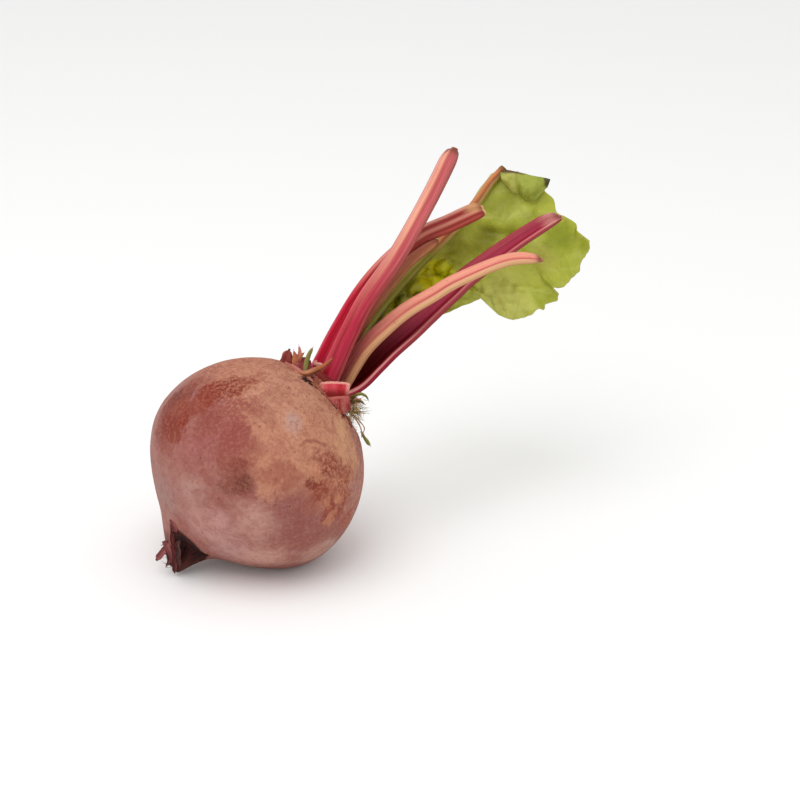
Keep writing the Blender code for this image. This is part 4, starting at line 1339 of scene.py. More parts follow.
def add_stub(name, spec, stripes, seed, paleness=0.2, turnover=(0.3, 0.98)):
    look = {**STUB_LOOK, "turnover": turnover, "paleness": paleness, **stripes}
    material = stalk_material("skin_stub_" + name, turn_to_camera(spec), seed=seed, **look)
    values = {"Sides": STUB_SIDES, "Rib_Number": RIB_NUMBER, "Rib_Height": STUB_RIB * MM}
    values.update({"Seed": seed, "Material": material})
    stub = grown("stub_" + name, stations_mesh("stub_stations", spec), SWEEP, **values)
    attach(stub, "root")


for i, (name, sizes) in enumerate(STUBS.items()):
    add_stub(name, stub_spec(*sizes), STUB_STRIPES, STUB_SEED + i)
add_stub("collar", COLLAR, COLLAR_STRIPES, STUB_SEED + 10.0, 0.04, (0.2, 0.8))
add_stub("tissue", TISSUE, TISSUE_STRIPES, STUB_SEED + 11.0, 0.5)
print("stubs:", len(STUBS) + 2)

# %% [markdown]
# ## The leaf
#
# One leaf is left, torn off halfway up. Its blade hangs behind the stalks as one sheet with the midrib down
# its middle. The sheet is a patch between known lines: the midrib, the two outer edges and the torn top. On top
# of that come the things that make it a leaf: side veins that run out and up, puffed skin between them, a
# wavy edge with small bites, and tight crinkles low down where it was squeezed between the stalks.

# %% Lines of the blade
BLADE_THICKNESS = 0.5
BLADE_START = 0.16  # the share of the midrib that is bare
RIB_SAMPLES = 1000
BLADE_SET_BACK = (3.1, 2.2)
EDGE_NEAR = (
    (33.0, 30.5, 67.5), (41.0, 36.5, 67.0), (51.5, 43.5, 69.5), (63.0, 49.5, 73.0),
    (72.0, 52.6, 76.4), (77.1, 52.8, 77.7), (79.9, 52.0, 77.5), (80.4, 50.1, 74.9),
    (83.3, 48.5, 72.3), (88.4, 47.5, 71.3), (93.2, 47.8, 72.4), (96.9, 48.3, 75.1),
    (99.1, 48.1, 75.0), (99.3, 49.2, 76.8), (103.9, 49.8, 77.5), (104.3, 51.2, 79.8),
    (102.8, 52.3, 81.7), (105.8, 52.5, 82.0), (109.5, 54.1, 84.8), (112.1, 55.9, 87.7),
    (112.7, 57.3, 90.3), (115.9, 59.6, 93.8), (116.3, 60.8, 97.1),
)
EDGE_FAR = (
    (27.5, 35, 66.5), (33.6, 45.5, 67.5), (40.9, 59, 71), (49.2, 70.5, 77), (55.6, 79.9, 86.8),
    (63.2, 85.3, 93.8), (72.7, 88.5, 103), (80.5, 90.5, 114.5),
)
EDGE_TOP_NEAR = (
    (88.4, 67.0, 122.1), (94.2, 65.4, 121.0), (100.0, 63.9, 119.8), (99.0, 63.3, 116.1),
    (102.4, 63.2, 112.7), (103.7, 62.8, 107.8), (107.3, 62.8, 105.9), (111.0, 62.6, 103.3),
    (111.6, 61.9, 100.8), (116.3, 60.8, 97.1),
)
# soft ridges and grooves of the blade: their ends, their width and their height, in millimetres
BLADE_FOLDS = (
    ((74.8, 60.2, 101.4), (86.5, 59.4, 100.5), 1.3, -1.9),
    ((74.0, 61.0, 104.2), (88.0, 59.8, 103.4), 2.2, 1.3),
    ((86.5, 59.4, 100.5), (93.0, 58.0, 103.0), 1.4, -1.2),
    ((84.4, 53.8, 86.8), (90.3, 51.9, 82.1), 1.1, 1.1),
    ((90.3, 51.9, 82.1), (95.8, 51.5, 81.0), 1.1, 1.2),
    ((95.8, 51.5, 81.0), (102.5, 52.3, 82.5), 1.1, 1.0),
    ((81.8, 51.6, 80.5), (85.5, 49.6, 76.0), 1.2, 1.2),
    ((85.5, 49.6, 76.0), (92.5, 48.8, 75.4), 1.2, 1.3),
    ((84.0, 60.4, 108.4), (88.0, 60.6, 112.0), 2.4, 1.4),
    ((92.0, 61.0, 109.8), (93.5, 61.0, 108.4), 2.6, 2.0),
    ((98.2, 61.2, 108.2), (100.2, 61.0, 106.8), 2.2, 1.8),
    ((95.2, 61.0, 107.0), (96.2, 61.0, 110.5), 0.9, -1.5),
    ((62.5, 54.5, 94.5), (68.5, 55.5, 97.0), 1.4, -1.6),
    ((57.0, 52.0, 93.0), (66.0, 54.0, 93.0), 1.6, 1.3),
    ((76.0, 54.0, 86.0), (82.0, 54.0, 90.5), 2.2, 1.2),
    ((100.0, 55.5, 96.0), (108.0, 57.5, 94.0), 2.6, 1.1),
    ((98.0, 56.0, 92.0), (106.0, 56.0, 88.5), 1.6, -1.0),
)
FOLD_LINES = [(Vector(first), Vector(last), width, rise) for first, last, width, rise in BLADE_FOLDS]
TORN_EDGE_PULL = 6
BLADE_ROWS = 190
BLADE_COLUMNS_NEAR = 110
BLADE_COLUMNS_FAR = 50
RUFFLE_HEIGHT = 2.2
RUFFLE_WAVES = 5.5
RUFFLE_SHIFT = 1.3
PUCKER_HEIGHT = 0.7
PUCKER_WAVES = 4.5
PUCKER_SLANT = 5.0
SIDE_VEINS = 8.0
VEIN_RISE = 0.42  # how far up a side vein climbs on its way out
PUFF = 0.25
BITE = 0.018  # as a share of the half width
CRUMPLE = 2.6  # broad soft folds
CRINKLE = 1.9  # tight ones
SQUEEZED = (0.66, 0.42)  # the crumpled part sets in between these places up the midrib
LOBE_SHIFT = 0.25  # the squeezed part ends this much lower at the outer edge than at the midrib


def smoothstep(low, high, value):
    t = min(1.0, max(0.0, (value - low) / (high - low)))
    return t * t * (3.0 - 2.0 * t)


def vein_place(up, reach):
    """How far off the nearest side vein is, from 0 on it to 0.5 halfway between two."""
    number = (up - VEIN_RISE * reach**1.2) * SIDE_VEINS + 0.35 * noise.noise(Vector((
        up * 5.0, reach * 3.0, 1.0,
    )))
    return abs(number - round(number))


def fold_height(point):
    """How far the soft folds lift a point of the blade towards the camera's side, in millimetres."""
    height = 0.0
    for first, last, width, rise in FOLD_LINES:
        along = last - first
        share = min(1.0, max(0.0, (point - first).dot(along) / along.length_squared))
        away = (point - first - along * share).length / width
        if away < 3.0:
            height += rise * math.exp(-(away**2))
    return height


def blade_sheet():
    """Rows of points of the blade's middle surface, each with its place up and across."""
    faces = Vector(STALKS["rib"]["faces"]).normalized()
    whole = smooth_path(STALKS["rib"]["route"], RIB_SAMPLES + 1)[0]
    kept = whole[round(BLADE_START * RIB_SAMPLES):]
    near = smooth_path(EDGE_NEAR, BLADE_ROWS)[0]
    far = smooth_path(EDGE_FAR, BLADE_ROWS)[0]
    rib = []
    for row in range(BLADE_ROWS):
        share = row / (BLADE_ROWS - 1)
        back = BLADE_SET_BACK[0] + (BLADE_SET_BACK[1] - BLADE_SET_BACK[0]) * share
        rib.append(kept[round(share * (len(kept) - 1))] + faces * back)
    top = smooth_path([rib[-1], *EDGE_TOP_NEAR], BLADE_COLUMNS_NEAR + 1)[0]
    shares = [-1.0 + i / BLADE_COLUMNS_FAR for i in range(BLADE_COLUMNS_FAR)]
    shares += [i / BLADE_COLUMNS_NEAR for i in range(BLADE_COLUMNS_NEAR + 1)]
    rows = []
    for row in range(BLADE_ROWS):
        up = row / (BLADE_ROWS - 1)
        line = []
        for across in shares:
            reach = abs(across)
            half = 7.0 if across > 0 else 3.0  # each edge draws on its own part of the noise
            bite = noise.noise(Vector((up * 21.0, half, 0.0)))
            bite += 0.7 * noise.noise(Vector((up * 60.0, half, 4.0)))
            moved = across * (1.0 + BITE * bite * smoothstep(0.75, 1.0, reach))
            if across < 0:
                point = rib[row].lerp(far[row], -moved)
            else:
                point = rib[row].lerp(near[row], moved)
                pull = top[round(across * BLADE_COLUMNS_NEAR)] - rib[-1].lerp(near[-1], across)
                point = point + pull * up**TORN_EDGE_PULL
            ruffle = math.sin(2.0 * math.pi * RUFFLE_WAVES * up + RUFFLE_SHIFT * across)
            pucker = math.sin(2.0 * math.pi * PUCKER_WAVES * up + PUCKER_SLANT * reach)
            lift = RUFFLE_HEIGHT * reach**2 * ruffle + PUCKER_HEIGHT * pucker * math.sin(math.pi * reach)
            off = vein_place(up, reach)
            lift += PUFF * (smoothstep(0.0, 0.3, off) - 0.5) * 2.0
            low = smoothstep(*SQUEEZED, up + LOBE_SHIFT * smoothstep(0.6, 0.95, reach))
            lift += CRUMPLE * noise.noise(point * 0.085 + Vector((3.0, 1.0, 5.0))) * (0.6 + 0.5 * low)
            puffs = 1.0 - 2.0 * abs(noise.noise(point * 0.2))
            lift += CRINKLE * (puffs - 0.6) * (0.25 + 1.5 * low)
            lift += 0.4 * noise.noise(point * 0.5) * (0.4 + low)
            lift -= fold_height(point)
            line.append((point + faces * lift * smoothstep(0.0, 0.25, reach), (up, 0.5 + 0.5 * across)))
        rows.append(line)
    return rows


def thick_sheet(name, rows, thickness):
    """A closed thin body round rows of points, with its map stored for the markings."""
    bm = bmesh.new()
    layer = bm.loops.layers.uv.new("UVMap")
    sheet = [[bm.verts.new(point) for point, _ in line] for line in rows]
    place_of = {vert: at for verts, line in zip(sheet, rows) for vert, (_, at) in zip(verts, line)}
    for low, high in zip(sheet, sheet[1:]):
        for a, b, c, d in zip(low, low[1:], high[1:], high):
            bm.faces.new((a, b, c, d))
    bm.normal_update()
    normals = {vert: vert.normal.copy() for vert in bm.verts}
    back = {vert: bm.verts.new(vert.co - normals[vert] * thickness / 2) for vert in normals}
    front_faces = list(bm.faces)
    for vert, normal in normals.items():
        vert.co += normal * thickness / 2
        place_of[back[vert]] = place_of[vert]
    for face in front_faces:
        bm.faces.new([back[vert] for vert in reversed(face.verts)])
    right = [line[-1] for line in sheet[1:]]
    left = [line[0] for line in reversed(sheet[1:-1])]
    rim = sheet[0] + right + list(reversed(sheet[-1][:-1])) + left
    for p, q in zip(rim, rim[1:] + rim[:1]):
        bm.faces.new((q, p, back[p], back[q]))
    for face in bm.faces:
        for loop in face.loops:
            loop[layer].uv = place_of[loop.vert]
    for vert in bm.verts:
        vert.co *= MM
    mesh = finished_mesh(name, bm)
    mesh.shade_smooth()
    return mesh


# %% Group: leaf veins
def make_vein_group():
    """From the map of the blade: side veins, the net of fine veins, and how low on the leaf a point is."""
    inputs = [("Map", "Vector"), ("Position", "Vector")]
    outputs = [("Veins", "Float"), ("Net", "Float"), ("Up", "Float"), ("Reach", "Float")]
    group, given, out = new_group("leaf veins", "ShaderNodeTree", inputs, outputs)
    at = parts(group, given["Map"])
    reach = maths(group, "ABSOLUTE", times(group, minus(group, at["Y"], 0.5), 2.0))
    rise = times(group, maths(group, "POWER", reach, 1.2), VEIN_RISE)
    number = times(group, minus(group, at["X"], rise), SIDE_VEINS)
    wander = times(group, minus(group, cloud(group, given["Position"], 60.0, 2.0), 0.5), 0.5)
    away = maths(group, "PINGPONG", plus(group, plus(group, number, wander), 8.0), 0.5)
    veins = fade(group, away, 0.09, 0.0)
    settings = {"feature": "DISTANCE_TO_EDGE"}
    ends = {"Vector": given["Position"], "Scale": 420.0}
    net = fade(group, place(group, "ShaderNodeTexVoronoi", settings, ends).outputs["Distance"], 0.12, 0.0)
    group.links.new(veins, out["Veins"])
    group.links.new(net, out["Net"])
    group.links.new(at["X"], out["Up"])
    group.links.new(reach, out["Reach"])
    return group


VEINS = make_vein_group()


# paler and darker parts of the blade, as for the skin of the root; the row of darker patches below the fold
# across the upper blade is painted shade
LEAF_PATCHES = (
    ((85.7, 48.1, 77.5), 16.0, 0.8, 0.3, (214, 216, 128), 0.85),
    ((93.9, 52.3, 85.0), 9.0, 0.8, 0.4, (190, 194, 96), 0.7),
    ((99.4, 55.1, 91.8), 6.5, 0.8, 0.5, (190, 186, 102), 0.7),
    ((105.1, 60.2, 97.9), 8.0, 0.8, 0.4, (138, 148, 52), 0.75),
    ((83.6, 62.5, 110.6), 7.5, 0.8, 0.5, (148, 152, 72), 0.6),
    # painted shade: four darker patches in a band below the fold
    ((67.5, 55.5, 94.5), 9.0, 0.8, 0.4, (128, 124, 20), 0.75),
    ((77.5, 58.3, 97.8), 8.5, 0.8, 0.4, (128, 125, 22), 0.75),
    ((80.0, 59.4, 100.2), 4.5, 0.9, 0.5, (104, 104, 10), 0.3),
    ((86.0, 60.4, 102.0), 6.0, 0.9, 0.4, (142, 142, 38), 0.5),
    ((61.0, 53.0, 88.0), 6.0, 0.6, 0.9, (202, 200, 42), 0.75),
    ((55.5, 51.2, 88.0), 6.0, 0.6, 1.0, (208, 200, 32), 0.75),
)


def leaf_material():
    material, tree, shader = new_material("leaf_skin", Roughness=0.36, Specular_IOR_Level=0.22)
    texture = place(tree, "ShaderNodeTexCoord").outputs
    spot = texture["Object"]
    read = use_group(tree, VEINS, {"Map": texture["UV"], "Position": spot})
    broad = cloud(tree, spot, 55.0, 3.0, 0.55)
    colour = blend(tree, fade(tree, broad, 0.3, 0.7), paint(190, 194, 92), paint(170, 176, 78))
    inner = plus(tree, read["Up"], fade(tree, read["Reach"], 0.6, 0.95, 0.0, LOBE_SHIFT))
    low = fade(tree, inner, 0.66, 0.4)
    deep = times(tree, low, fade(tree, cloud(tree, spot, 150.0, 4.0, 0.6), 0.35, 0.62, 0.6, 1.0))
    colour = coat(tree, colour, deep, (178, 172, 36))
    # painted shade: the base of the blade, between and under the stalks, is darkened
    shade_low_on_blade = fade(tree, read["Up"], 0.42, 0.25)
    colour = coat(tree, colour, shade_low_on_blade, (100, 92, 12), 0.45)
    pale = fade(tree, cloud(tree, spot, 90.0, 3.0, 0.5), 0.52, 0.72, 0.0, 0.5)
    colour = coat(tree, colour, pale, (204, 208, 124))
    plain = minus(tree, 1.0, times(tree, low, 0.7))
    colour = coat(tree, colour, times(tree, read["Net"], times(tree, plain, 0.14)), (196, 202, 118))
    colour = coat(tree, colour, times(tree, read["Veins"], times(tree, plain, 0.3)), (200, 202, 124))
    colour = add_patches(tree, spot, colour, LEAF_PATCHES)
    # painted shade in the hollows of the crinkles, low on the blade
    crease_shade = fade(tree, cloud(tree, spot, 120.0, 5.0, 0.6, 0.8), 0.5, 0.66, 0.0, 1.0)
    crease_shade = times(tree, crease_shade, fade(tree, low, 0.0, 1.0, 0.25, 0.5))
    colour = blend(tree, crease_shade, colour, blend(tree, low, paint(132, 140, 40), paint(92, 96, 6)))
    # painted highlight: a paler band along the margin where light catches the leaf's edge
    edge = fade(tree, read["Reach"], 0.975, 1.0)
    colour = coat(tree, colour, edge, (190, 186, 110), 0.35)
    dried = fade(tree, plus(tree, read["Up"], times(tree, cloud(tree, spot, 200.0, 4.0), 0.03)), 0.99, 1.005)
    dried = times(tree, dried, fade(tree, read["Reach"], 0.5, 0.3))
    colour = coat(tree, colour, dried, (104, 74, 34))
    tree.links.new(colour, shader.inputs["Base Color"])
    rough = fade(tree, cloud(tree, spot, 200.0, 3.0, 0.5), 0.3, 0.7, 0.24, 0.44)
    tree.links.new(rough, shader.inputs["Roughness"])
    height = plus(tree, times(tree, read["Net"], -0.5), cloud(tree, spot, 500.0, 3.0, 0.6))
    add_bump(tree, shader, height, 0.0005, 0.3)
    return material


fine_blade = add_object("fine_blade", thick_sheet("fine_blade", blade_sheet(), BLADE_THICKNESS))
fine_blade.data.materials.append(leaf_material())
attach(fine_blade, "root")
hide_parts("leaf_blade")
print("blade:", len(fine_blade.data.polygons), "faces")

# %% [markdown]
# At the torn top one corner of the blade is folded over to the front. It shows its other, paler face and
# hides the tear. It is a small patch between three smooth lines, thin like the blade, and its last point is
# dried to a dark tip.

# %% Folded corner
FLAP_LINES = (
    (
        (82.8, 65.9, 122.3), (86.9, 66.0, 122.7), (90.1, 65.1, 121.8), (95.2, 64.0, 121.1),
        (101.0, 62.2, 120.4),
    ),
    (
        (83.2, 62.2, 121.0), (86.7, 60.9, 119.9), (90.0, 61.1, 118.8), (94.4, 60.3, 117.9),
        (100.6, 60.9, 119.5),
    ),
    ((84.6, 63.9, 118.2), (86.9, 63.3, 116.3), (89.4, 62.7, 114.6), (94.6, 61.6, 112.6), (99.9, 61.7, 117.5)),
)
FLAP_COLUMNS = 70
FLAP_ROWS = 50
FLAP_TIP = ((100.4, 62.0, 120.0), 3.0)  # the middle and the radius of its dark tip
# where rolls lie along the flap, from 0 to 1, how wide they are and how high
FLAP_ROLLS = ((0.16, 0.11, 1.6), (0.36, 0.05, -1.3))


def flap_sheet():
    lines = [smooth_path(line, FLAP_COLUMNS)[0] for line in FLAP_LINES]
    rows = []
    for row in range(FLAP_ROWS):
        down = row / (FLAP_ROWS - 1)
        line = []
        for column in range(FLAP_COLUMNS):
            share = column / (FLAP_COLUMNS - 1)
            a, b, c = (path[column] for path in lines)
            point = a * (1 - down) * (1 - 2 * down) + b * 4 * down * (1 - down) + c * down * (2 * down - 1)
            roll = sum(high * math.exp(-(((share - at) / wide) ** 2)) for at, wide, high in FLAP_ROLLS)
            bump = 1.1 * roll + 0.9 * noise.noise(point * 0.25) + 0.3 * noise.noise(point * 0.7)
            hang = 0.5 * noise.noise(Vector((share * 9.0, 2.0, 0.0))) * down
            line.append((point + Vector((0.0, -bump, -hang)), (0.75 - 0.1 * down, 0.6 + 0.3 * share)))
        rows.append(line)
    return rows


def flap_material():
    material, tree, shader = new_material("leaf_back", Roughness=0.5, Specular_IOR_Level=0.3)
    texture = place(tree, "ShaderNodeTexCoord").outputs
    spot = texture["Object"]
    broad = cloud(tree, spot, 120.0, 4.0, 0.6)
    across = parts(tree, texture["UV"])["Y"]
    # painted highlight: the left part, over the rolled curl, is paler than the rest of the leaf's back
    colour = blend(tree, fade(tree, across, 0.66, 0.74), paint(182, 180, 100), paint(160, 167, 80))
    colour = coat(tree, colour, fade(tree, broad, 0.45, 0.65, 0.0, 0.7), (122, 132, 44))
    down = parts(tree, texture["UV"])["X"]
    rim = times(tree, fade(tree, down, 0.738, 0.746), fade(tree, across, 0.76, 0.7))
    colour = coat(tree, colour, rim, (96, 72, 36))
    tip = patch(tree, spot, *FLAP_TIP, Raggedness=0.5)
    colour = coat(tree, colour, tip, (66, 62, 20))
    tree.links.new(colour, shader.inputs["Base Color"])
    add_bump(tree, shader, cloud(tree, spot, 400.0, 4.0, 0.6), 0.0005, 0.4)
    return material


flap = add_object("leaf_flap", thick_sheet("leaf_flap", flap_sheet(), BLADE_THICKNESS))
flap.data.materials.append(flap_material())
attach(flap, "root")
print("flap:", len(flap.data.polygons), "faces")

# %% [markdown]
# ## Rootlets, dried strips and hairs
#
# The torn tail ends in stumps of side roots, and dried scales, sprouts and strips of old leaf bases stand
# and hang round the crown. All are like thin stalks, so the sweep tree makes them too, with a tip that
# narrows to a point.

# %% Rootlets and strips
BROWN_RED = {
    "low": (
        (0.0, (150, 96, 88)), (0.3, (126, 70, 64)), (0.55, (104, 50, 46)), (0.8, (80, 36, 32)),
        (1.0, (60, 26, 22)),
    ),
    "high": (
        (0.0, (140, 92, 84)), (0.3, (150, 92, 84)), (0.55, (106, 58, 52)), (0.8, (84, 40, 36)),
        (1.0, (56, 26, 22)),
    ),
}
PINK_SKIN = {
    "low": ((0.0, (176, 124, 118)), (0.4, (164, 104, 100)), (0.7, (136, 76, 74)), (1.0, (96, 46, 44))),
    "high": ((0.0, (168, 108, 106)), (0.4, (160, 92, 94)), (0.7, (128, 66, 68)), (1.0, (90, 44, 42))),
}
RED_TISSUE = {
    "low": ((0.0, (150, 86, 82)), (0.3, (120, 44, 42)), (0.6, (92, 22, 22)), (1.0, (70, 20, 18))),
    "high": ((0.0, (150, 92, 92)), (0.3, (122, 50, 52)), (0.6, (88, 28, 30)), (1.0, (60, 20, 20))),
}
DRY_STRAW = {
    "low": ((0.0, (208, 178, 148)), (1.0, (150, 112, 84))),
    "high": ((0.0, (206, 168, 140)), (1.0, (170, 128, 100))),
}
DRY_ORANGE = {
    "low": ((0.0, (210, 156, 128)), (0.4, (206, 140, 108)), (0.7, (170, 110, 74)), (1.0, (128, 80, 44))),
    "high": ((0.0, (204, 132, 96)), (0.4, (184, 106, 78)), (0.7, (150, 98, 54)), (1.0, (112, 66, 34))),
}
DRY_GREEN = {
    "low": ((0.0, (124, 112, 62)), (0.5, (142, 128, 80)), (1.0, (90, 76, 44))),
    "high": ((0.0, (160, 156, 96)), (0.5, (136, 132, 70)), (1.0, (100, 92, 48))),
}
DRY_OLIVE = {
    "low": ((0.0, (110, 94, 54)), (0.5, (122, 104, 64)), (1.0, (74, 58, 36))),
    "high": ((0.0, (124, 112, 62)), (0.5, (100, 90, 46)), (1.0, (70, 56, 30))),
}
DRY_PINK = {
    "low": (
        (0.0, (212, 150, 134)), (0.3, (190, 120, 106)), (0.55, (214, 152, 134)), (0.75, (180, 110, 98)),
        (1.0, (152, 90, 80)),
    ),
    "high": ((0.0, (214, 150, 136)), (0.4, (194, 122, 110)), (0.7, (212, 148, 130)), (1.0, (152, 88, 78))),
}
SCALE_RED = {
    "low": ((0.0, (166, 92, 84)), (0.3, (130, 50, 50)), (0.6, (150, 70, 66)), (1.0, (96, 32, 32))),
    "high": ((0.0, (176, 104, 94)), (0.3, (138, 58, 56)), (0.6, (158, 80, 72)), (1.0, (104, 40, 38))),
}
DRY_TAN = {
    "low": ((0.0, (196, 116, 100)), (0.5, (170, 92, 80)), (1.0, (130, 62, 52))),
    "high": ((0.0, (214, 144, 110)), (0.5, (192, 122, 90)), (1.0, (150, 86, 60))),
}
# dark torn flesh inside the tail's hollow, painted darker still for the shade there
SHADED_FLESH = {
    "low": ((0.0, (92, 54, 48)), (0.4, (110, 70, 62)), (0.7, (72, 34, 30)), (1.0, (40, 14, 12))),
    "high": ((0.0, (84, 48, 44)), (0.4, (98, 60, 56)), (0.7, (64, 30, 28)), (1.0, (36, 12, 10))),
}


def strand(route, width, thick, stripes, faces=(0.0, -1.0, 0.3), tip=(6.0, 0.05), rib=0.25):
    """The route, sizes and colours of a thin piece. Its tip may lean to a side, as a stalk's may."""
    spec = {"route": route, "faces": faces, "width": width, "thick": thick, "tip": (*tip, 0.0, 0.0)[:4]}
    spec.update({"channel": 0.1, "slant": 0.0, "flare": 0.3, "gap": 0.35})
    return spec, stripes, rib


STRANDS = {
    "rootlet_left": strand(
        ((-35.0, -18.8, 10.8), (-36.4, -20.0, 10.0), (-37.7, -20.4, 8.4), (-39.0, -20.2, 6.6)),
        (1.7, 1.7), (1.5, 1.4), PINK_SKIN, tip=(1.3, 0.5), rib=0.6,
    ),
    "rootlet_small": strand(
        ((-34.0, -20.0, 7.3), (-34.8, -21.1, 6.1), (-35.8, -21.5, 4.5)),
        (1.3, 0.5), (1.1, 0.5), BROWN_RED, tip=(1.6, 0.3), rib=0.4,
    ),
    "rootlet_low": strand(
        ((-34.4, -18.7, 9.4), (-34.1, -19.6, 6.7), (-33.5, -20.1, 3.8)),
        (3.0, 1.6), (2.6, 1.5), BROWN_RED, tip=(1.2, 0.5), rib=1.0,
    ),
    "rootlet_upper": strand(
        ((-34.8, -18.9, 12.2), (-35.8, -19.8, 12.5), (-36.9, -20.2, 12.1)),
        (1.5, 0.6), (1.3, 0.6), PINK_SKIN, tip=(1.2, 0.3), rib=0.4,
    ),
    "torn_skin": strand(
        (
            (-36.0, -18.4, 12.8), (-35.1, -20.2, 11.1), (-34.2, -20.5, 8.7), (-33.4, -20.6, 6.2),
            (-32.9, -20.6, 3.7),
        ),
        (2.0, 1.5), (1.5, 1.2), PINK_SKIN, tip=(2.0, 0.4), rib=0.6,
    ),
    "ridge": strand(
        (
            (-32.1, -22.4, 21.6), (-32.5, -22.4, 18.9), (-33.0, -22.4, 15.8), (-32.9, -22.1, 12.6),
            (-32.8, -22.1, 9.5), (-32.7, -21.8, 5.9), (-33.0, -21.0, 2.0),
        ),
        (1.2, 1.3), (1.0, 1.1), RED_TISSUE, tip=(2.0, 0.35), rib=0.8,
    ),
    "ridge_inner": strand(
        (
            (-30.9, -22.3, 15.4), (-31.3, -23.2, 13.3), (-31.0, -23.1, 10.8), (-31.4, -22.8, 7.9),
            (-31.1, -22.1, 4.8),
        ),
        (0.9, 1.3), (0.7, 0.8), SHADED_FLESH, tip=(3.0, 0.2), rib=1.4,
    ),
    "torn_knob": strand(
        ((-32.9, -22.5, 23.0), (-32.4, -23.8, 22.2), (-31.7, -24.4, 20.7), (-31.3, -24.1, 19.1)),
        (1.3, 2.0), (0.8, 0.9), PINK_SKIN, tip=(1.6, 0.4), rib=1.2,
    ),
    "strip_orange": strand(
        (
            (11.5, 0.0, 68.6), (13.4, -0.5, 68.8), (15.8, 0.7, 69.3), (18.2, 2.1, 69.9), (20.3, 3.5, 70.7),
            (22.7, 5.4, 72.1),
        ),
        (1.4, 1.3), (0.4, 0.35), DRY_ORANGE, faces=(0.1, -0.9, 0.5), tip=(10.0, 0.06, 0.3, 0.0), rib=0.7,
    ),
    "sheet_dry": strand(
        ((5.5, 5.4, 70.2), (8.4, 2.6, 69.8), (11.3, 0.2, 68.6), (13.7, -0.9, 67.0), (15.6, -1.6, 65.4)),
        (1.3, 1.9), (0.4, 0.35), DRY_PINK, faces=(0.1, -0.9, 0.5), tip=(3.5, 0.2), rib=1.1,
    ),
    "sprout_tan": strand(
        ((10.0, 5.1, 67.9), (9.8, 5.7, 70.3), (9.4, 6.1, 72.4), (8.9, 6.7, 74.4)),
        (3.2, 1.3), (0.9, 0.5), DRY_TAN, tip=(3.5, 0.1), rib=0.6,
    ),
    "sprout_horn": strand(
        ((10.4, 5.5, 69.2), (10.7, 6.0, 71.6), (11.0, 6.6, 74.1), (10.7, 7.4, 76.0)),
        (1.8, 0.8), (0.8, 0.4), DRY_PINK, tip=(4.0, 0.1), rib=0.4,
    ),
    "sprout_side": strand(
        ((10.6, 5.6, 70.7), (11.5, 6.1, 72.9), (12.5, 6.5, 73.8)),
        (1.3, 0.8), (0.6, 0.4), DRY_TAN, tip=(1.5, 0.1), rib=0.3,
    ),
    "sprout_green": strand(
        ((13.0, 1.1, 67.2), (13.0, 3.0, 69.0), (13.4, 4.7, 71.0), (14.2, 5.8, 73.2), (15.5, 6.5, 75.6)),
        (1.3, 1.4), (0.5, 0.4), DRY_GREEN, tip=(3.6, 0.1), rib=0.4,
    ),
    "scale_red": strand(
        ((6.1, 5.9, 68.7), (6.3, 6.4, 70.9), (6.7, 6.7, 72.9), (7.2, 7.1, 74.4)),
        (4.6, 2.4), (0.9, 0.5), SCALE_RED, tip=(2.2, 0.3), rib=0.9,
    ),
    "scale_back": strand(
        ((12.0, 1.8, 66.5), (12.2, 4.0, 68.3), (12.7, 5.6, 70.1), (13.6, 6.7, 71.8)),
        (6.4, 3.4), (1.0, 0.6), SCALE_RED, tip=(2.0, 0.3), rib=0.9,
    ),
    "strip_green": strand(
        ((32.4, -2.2, 47.6), (33.4, -2.6, 45.8), (34.6, -2.8, 43.8), (35.6, -2.8, 42.4)),
        (0.4, 1.4), (0.4, 0.5), DRY_GREEN, faces=(0.2, -1.0, 0.2), tip=(2.8, 0.1), rib=0.4,
    ),
    "strip_right": strand(
        ((28.8, 1.6, 58.1), (30.5, 0.9, 60.0), (32.5, 0.5, 60.6), (34.2, 0.6, 59.7), (35.1, 0.7, 58.1)),
        (0.9, 0.6), (0.5, 0.4), DRY_GREEN, tip=(5.0, 0.1), rib=0.6,
    ),
    "strip_bud": strand(
        ((29.0, -0.6, 57.5), (30.7, -1.0, 58.6), (32.5, -1.2, 58.5), (33.7, -1.2, 57.4)),
        (0.8, 0.7), (0.5, 0.4), DRY_OLIVE, tip=(3.5, 0.1), rib=0.5,
    ),
    "strip_hang": strand(
        ((30.0, -3.0, 53.4), (31.6, -3.6, 51.2), (32.6, -4.0, 48.6), (32.7, -4.4, 46.0)),
        (0.4, 0.35), (0.3, 0.3), DRY_STRAW, tip=(2.5, 0.1),
    ),
    "strip_straw": strand(
        ((29.2, -1.8, 54.2), (31.8, -2.8, 52.0), (33.6, -3.0, 49.2), (33.0, -3.0, 47.0)),
        (0.35, 0.3), (0.3, 0.25), DRY_STRAW, tip=(2.5, 0.1),
    ),
}
STRAND_LOOK = {"flesh": (96, 56, 46), "heart": (60, 30, 26), "shine": 0.6, "paleness": 0.15}
STRAND_SIDES = 28
STRAND_RIB_NUMBER = 3.0
STRAND_SEED = 60.0

for i, (name, (spec, stripes, rib)) in enumerate(STRANDS.items()):
    seed = STRAND_SEED + i
    material = stalk_material("skin_" + name, turn_to_camera(spec), seed=seed, **stripes, **STRAND_LOOK)
    values = {"Sides": STRAND_SIDES, "Rib_Number": STRAND_RIB_NUMBER, "Rib_Height": rib * MM}
    values.update({"Seed": seed, "Material": material})
    made = grown(name, stations_mesh("strand_stations", spec), SWEEP, **values)
    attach(made, "root")
print("strands:", len(STRANDS))

# %% [markdown]
# Fine dry hairs stand round the neck and at the torn tail. Each hair is one small curved cone, copied to a
# chain of points whose attributes say which way it stands and how long it is. Instancing keeps the tree
# small, and a few dozen faces a hair are plenty.


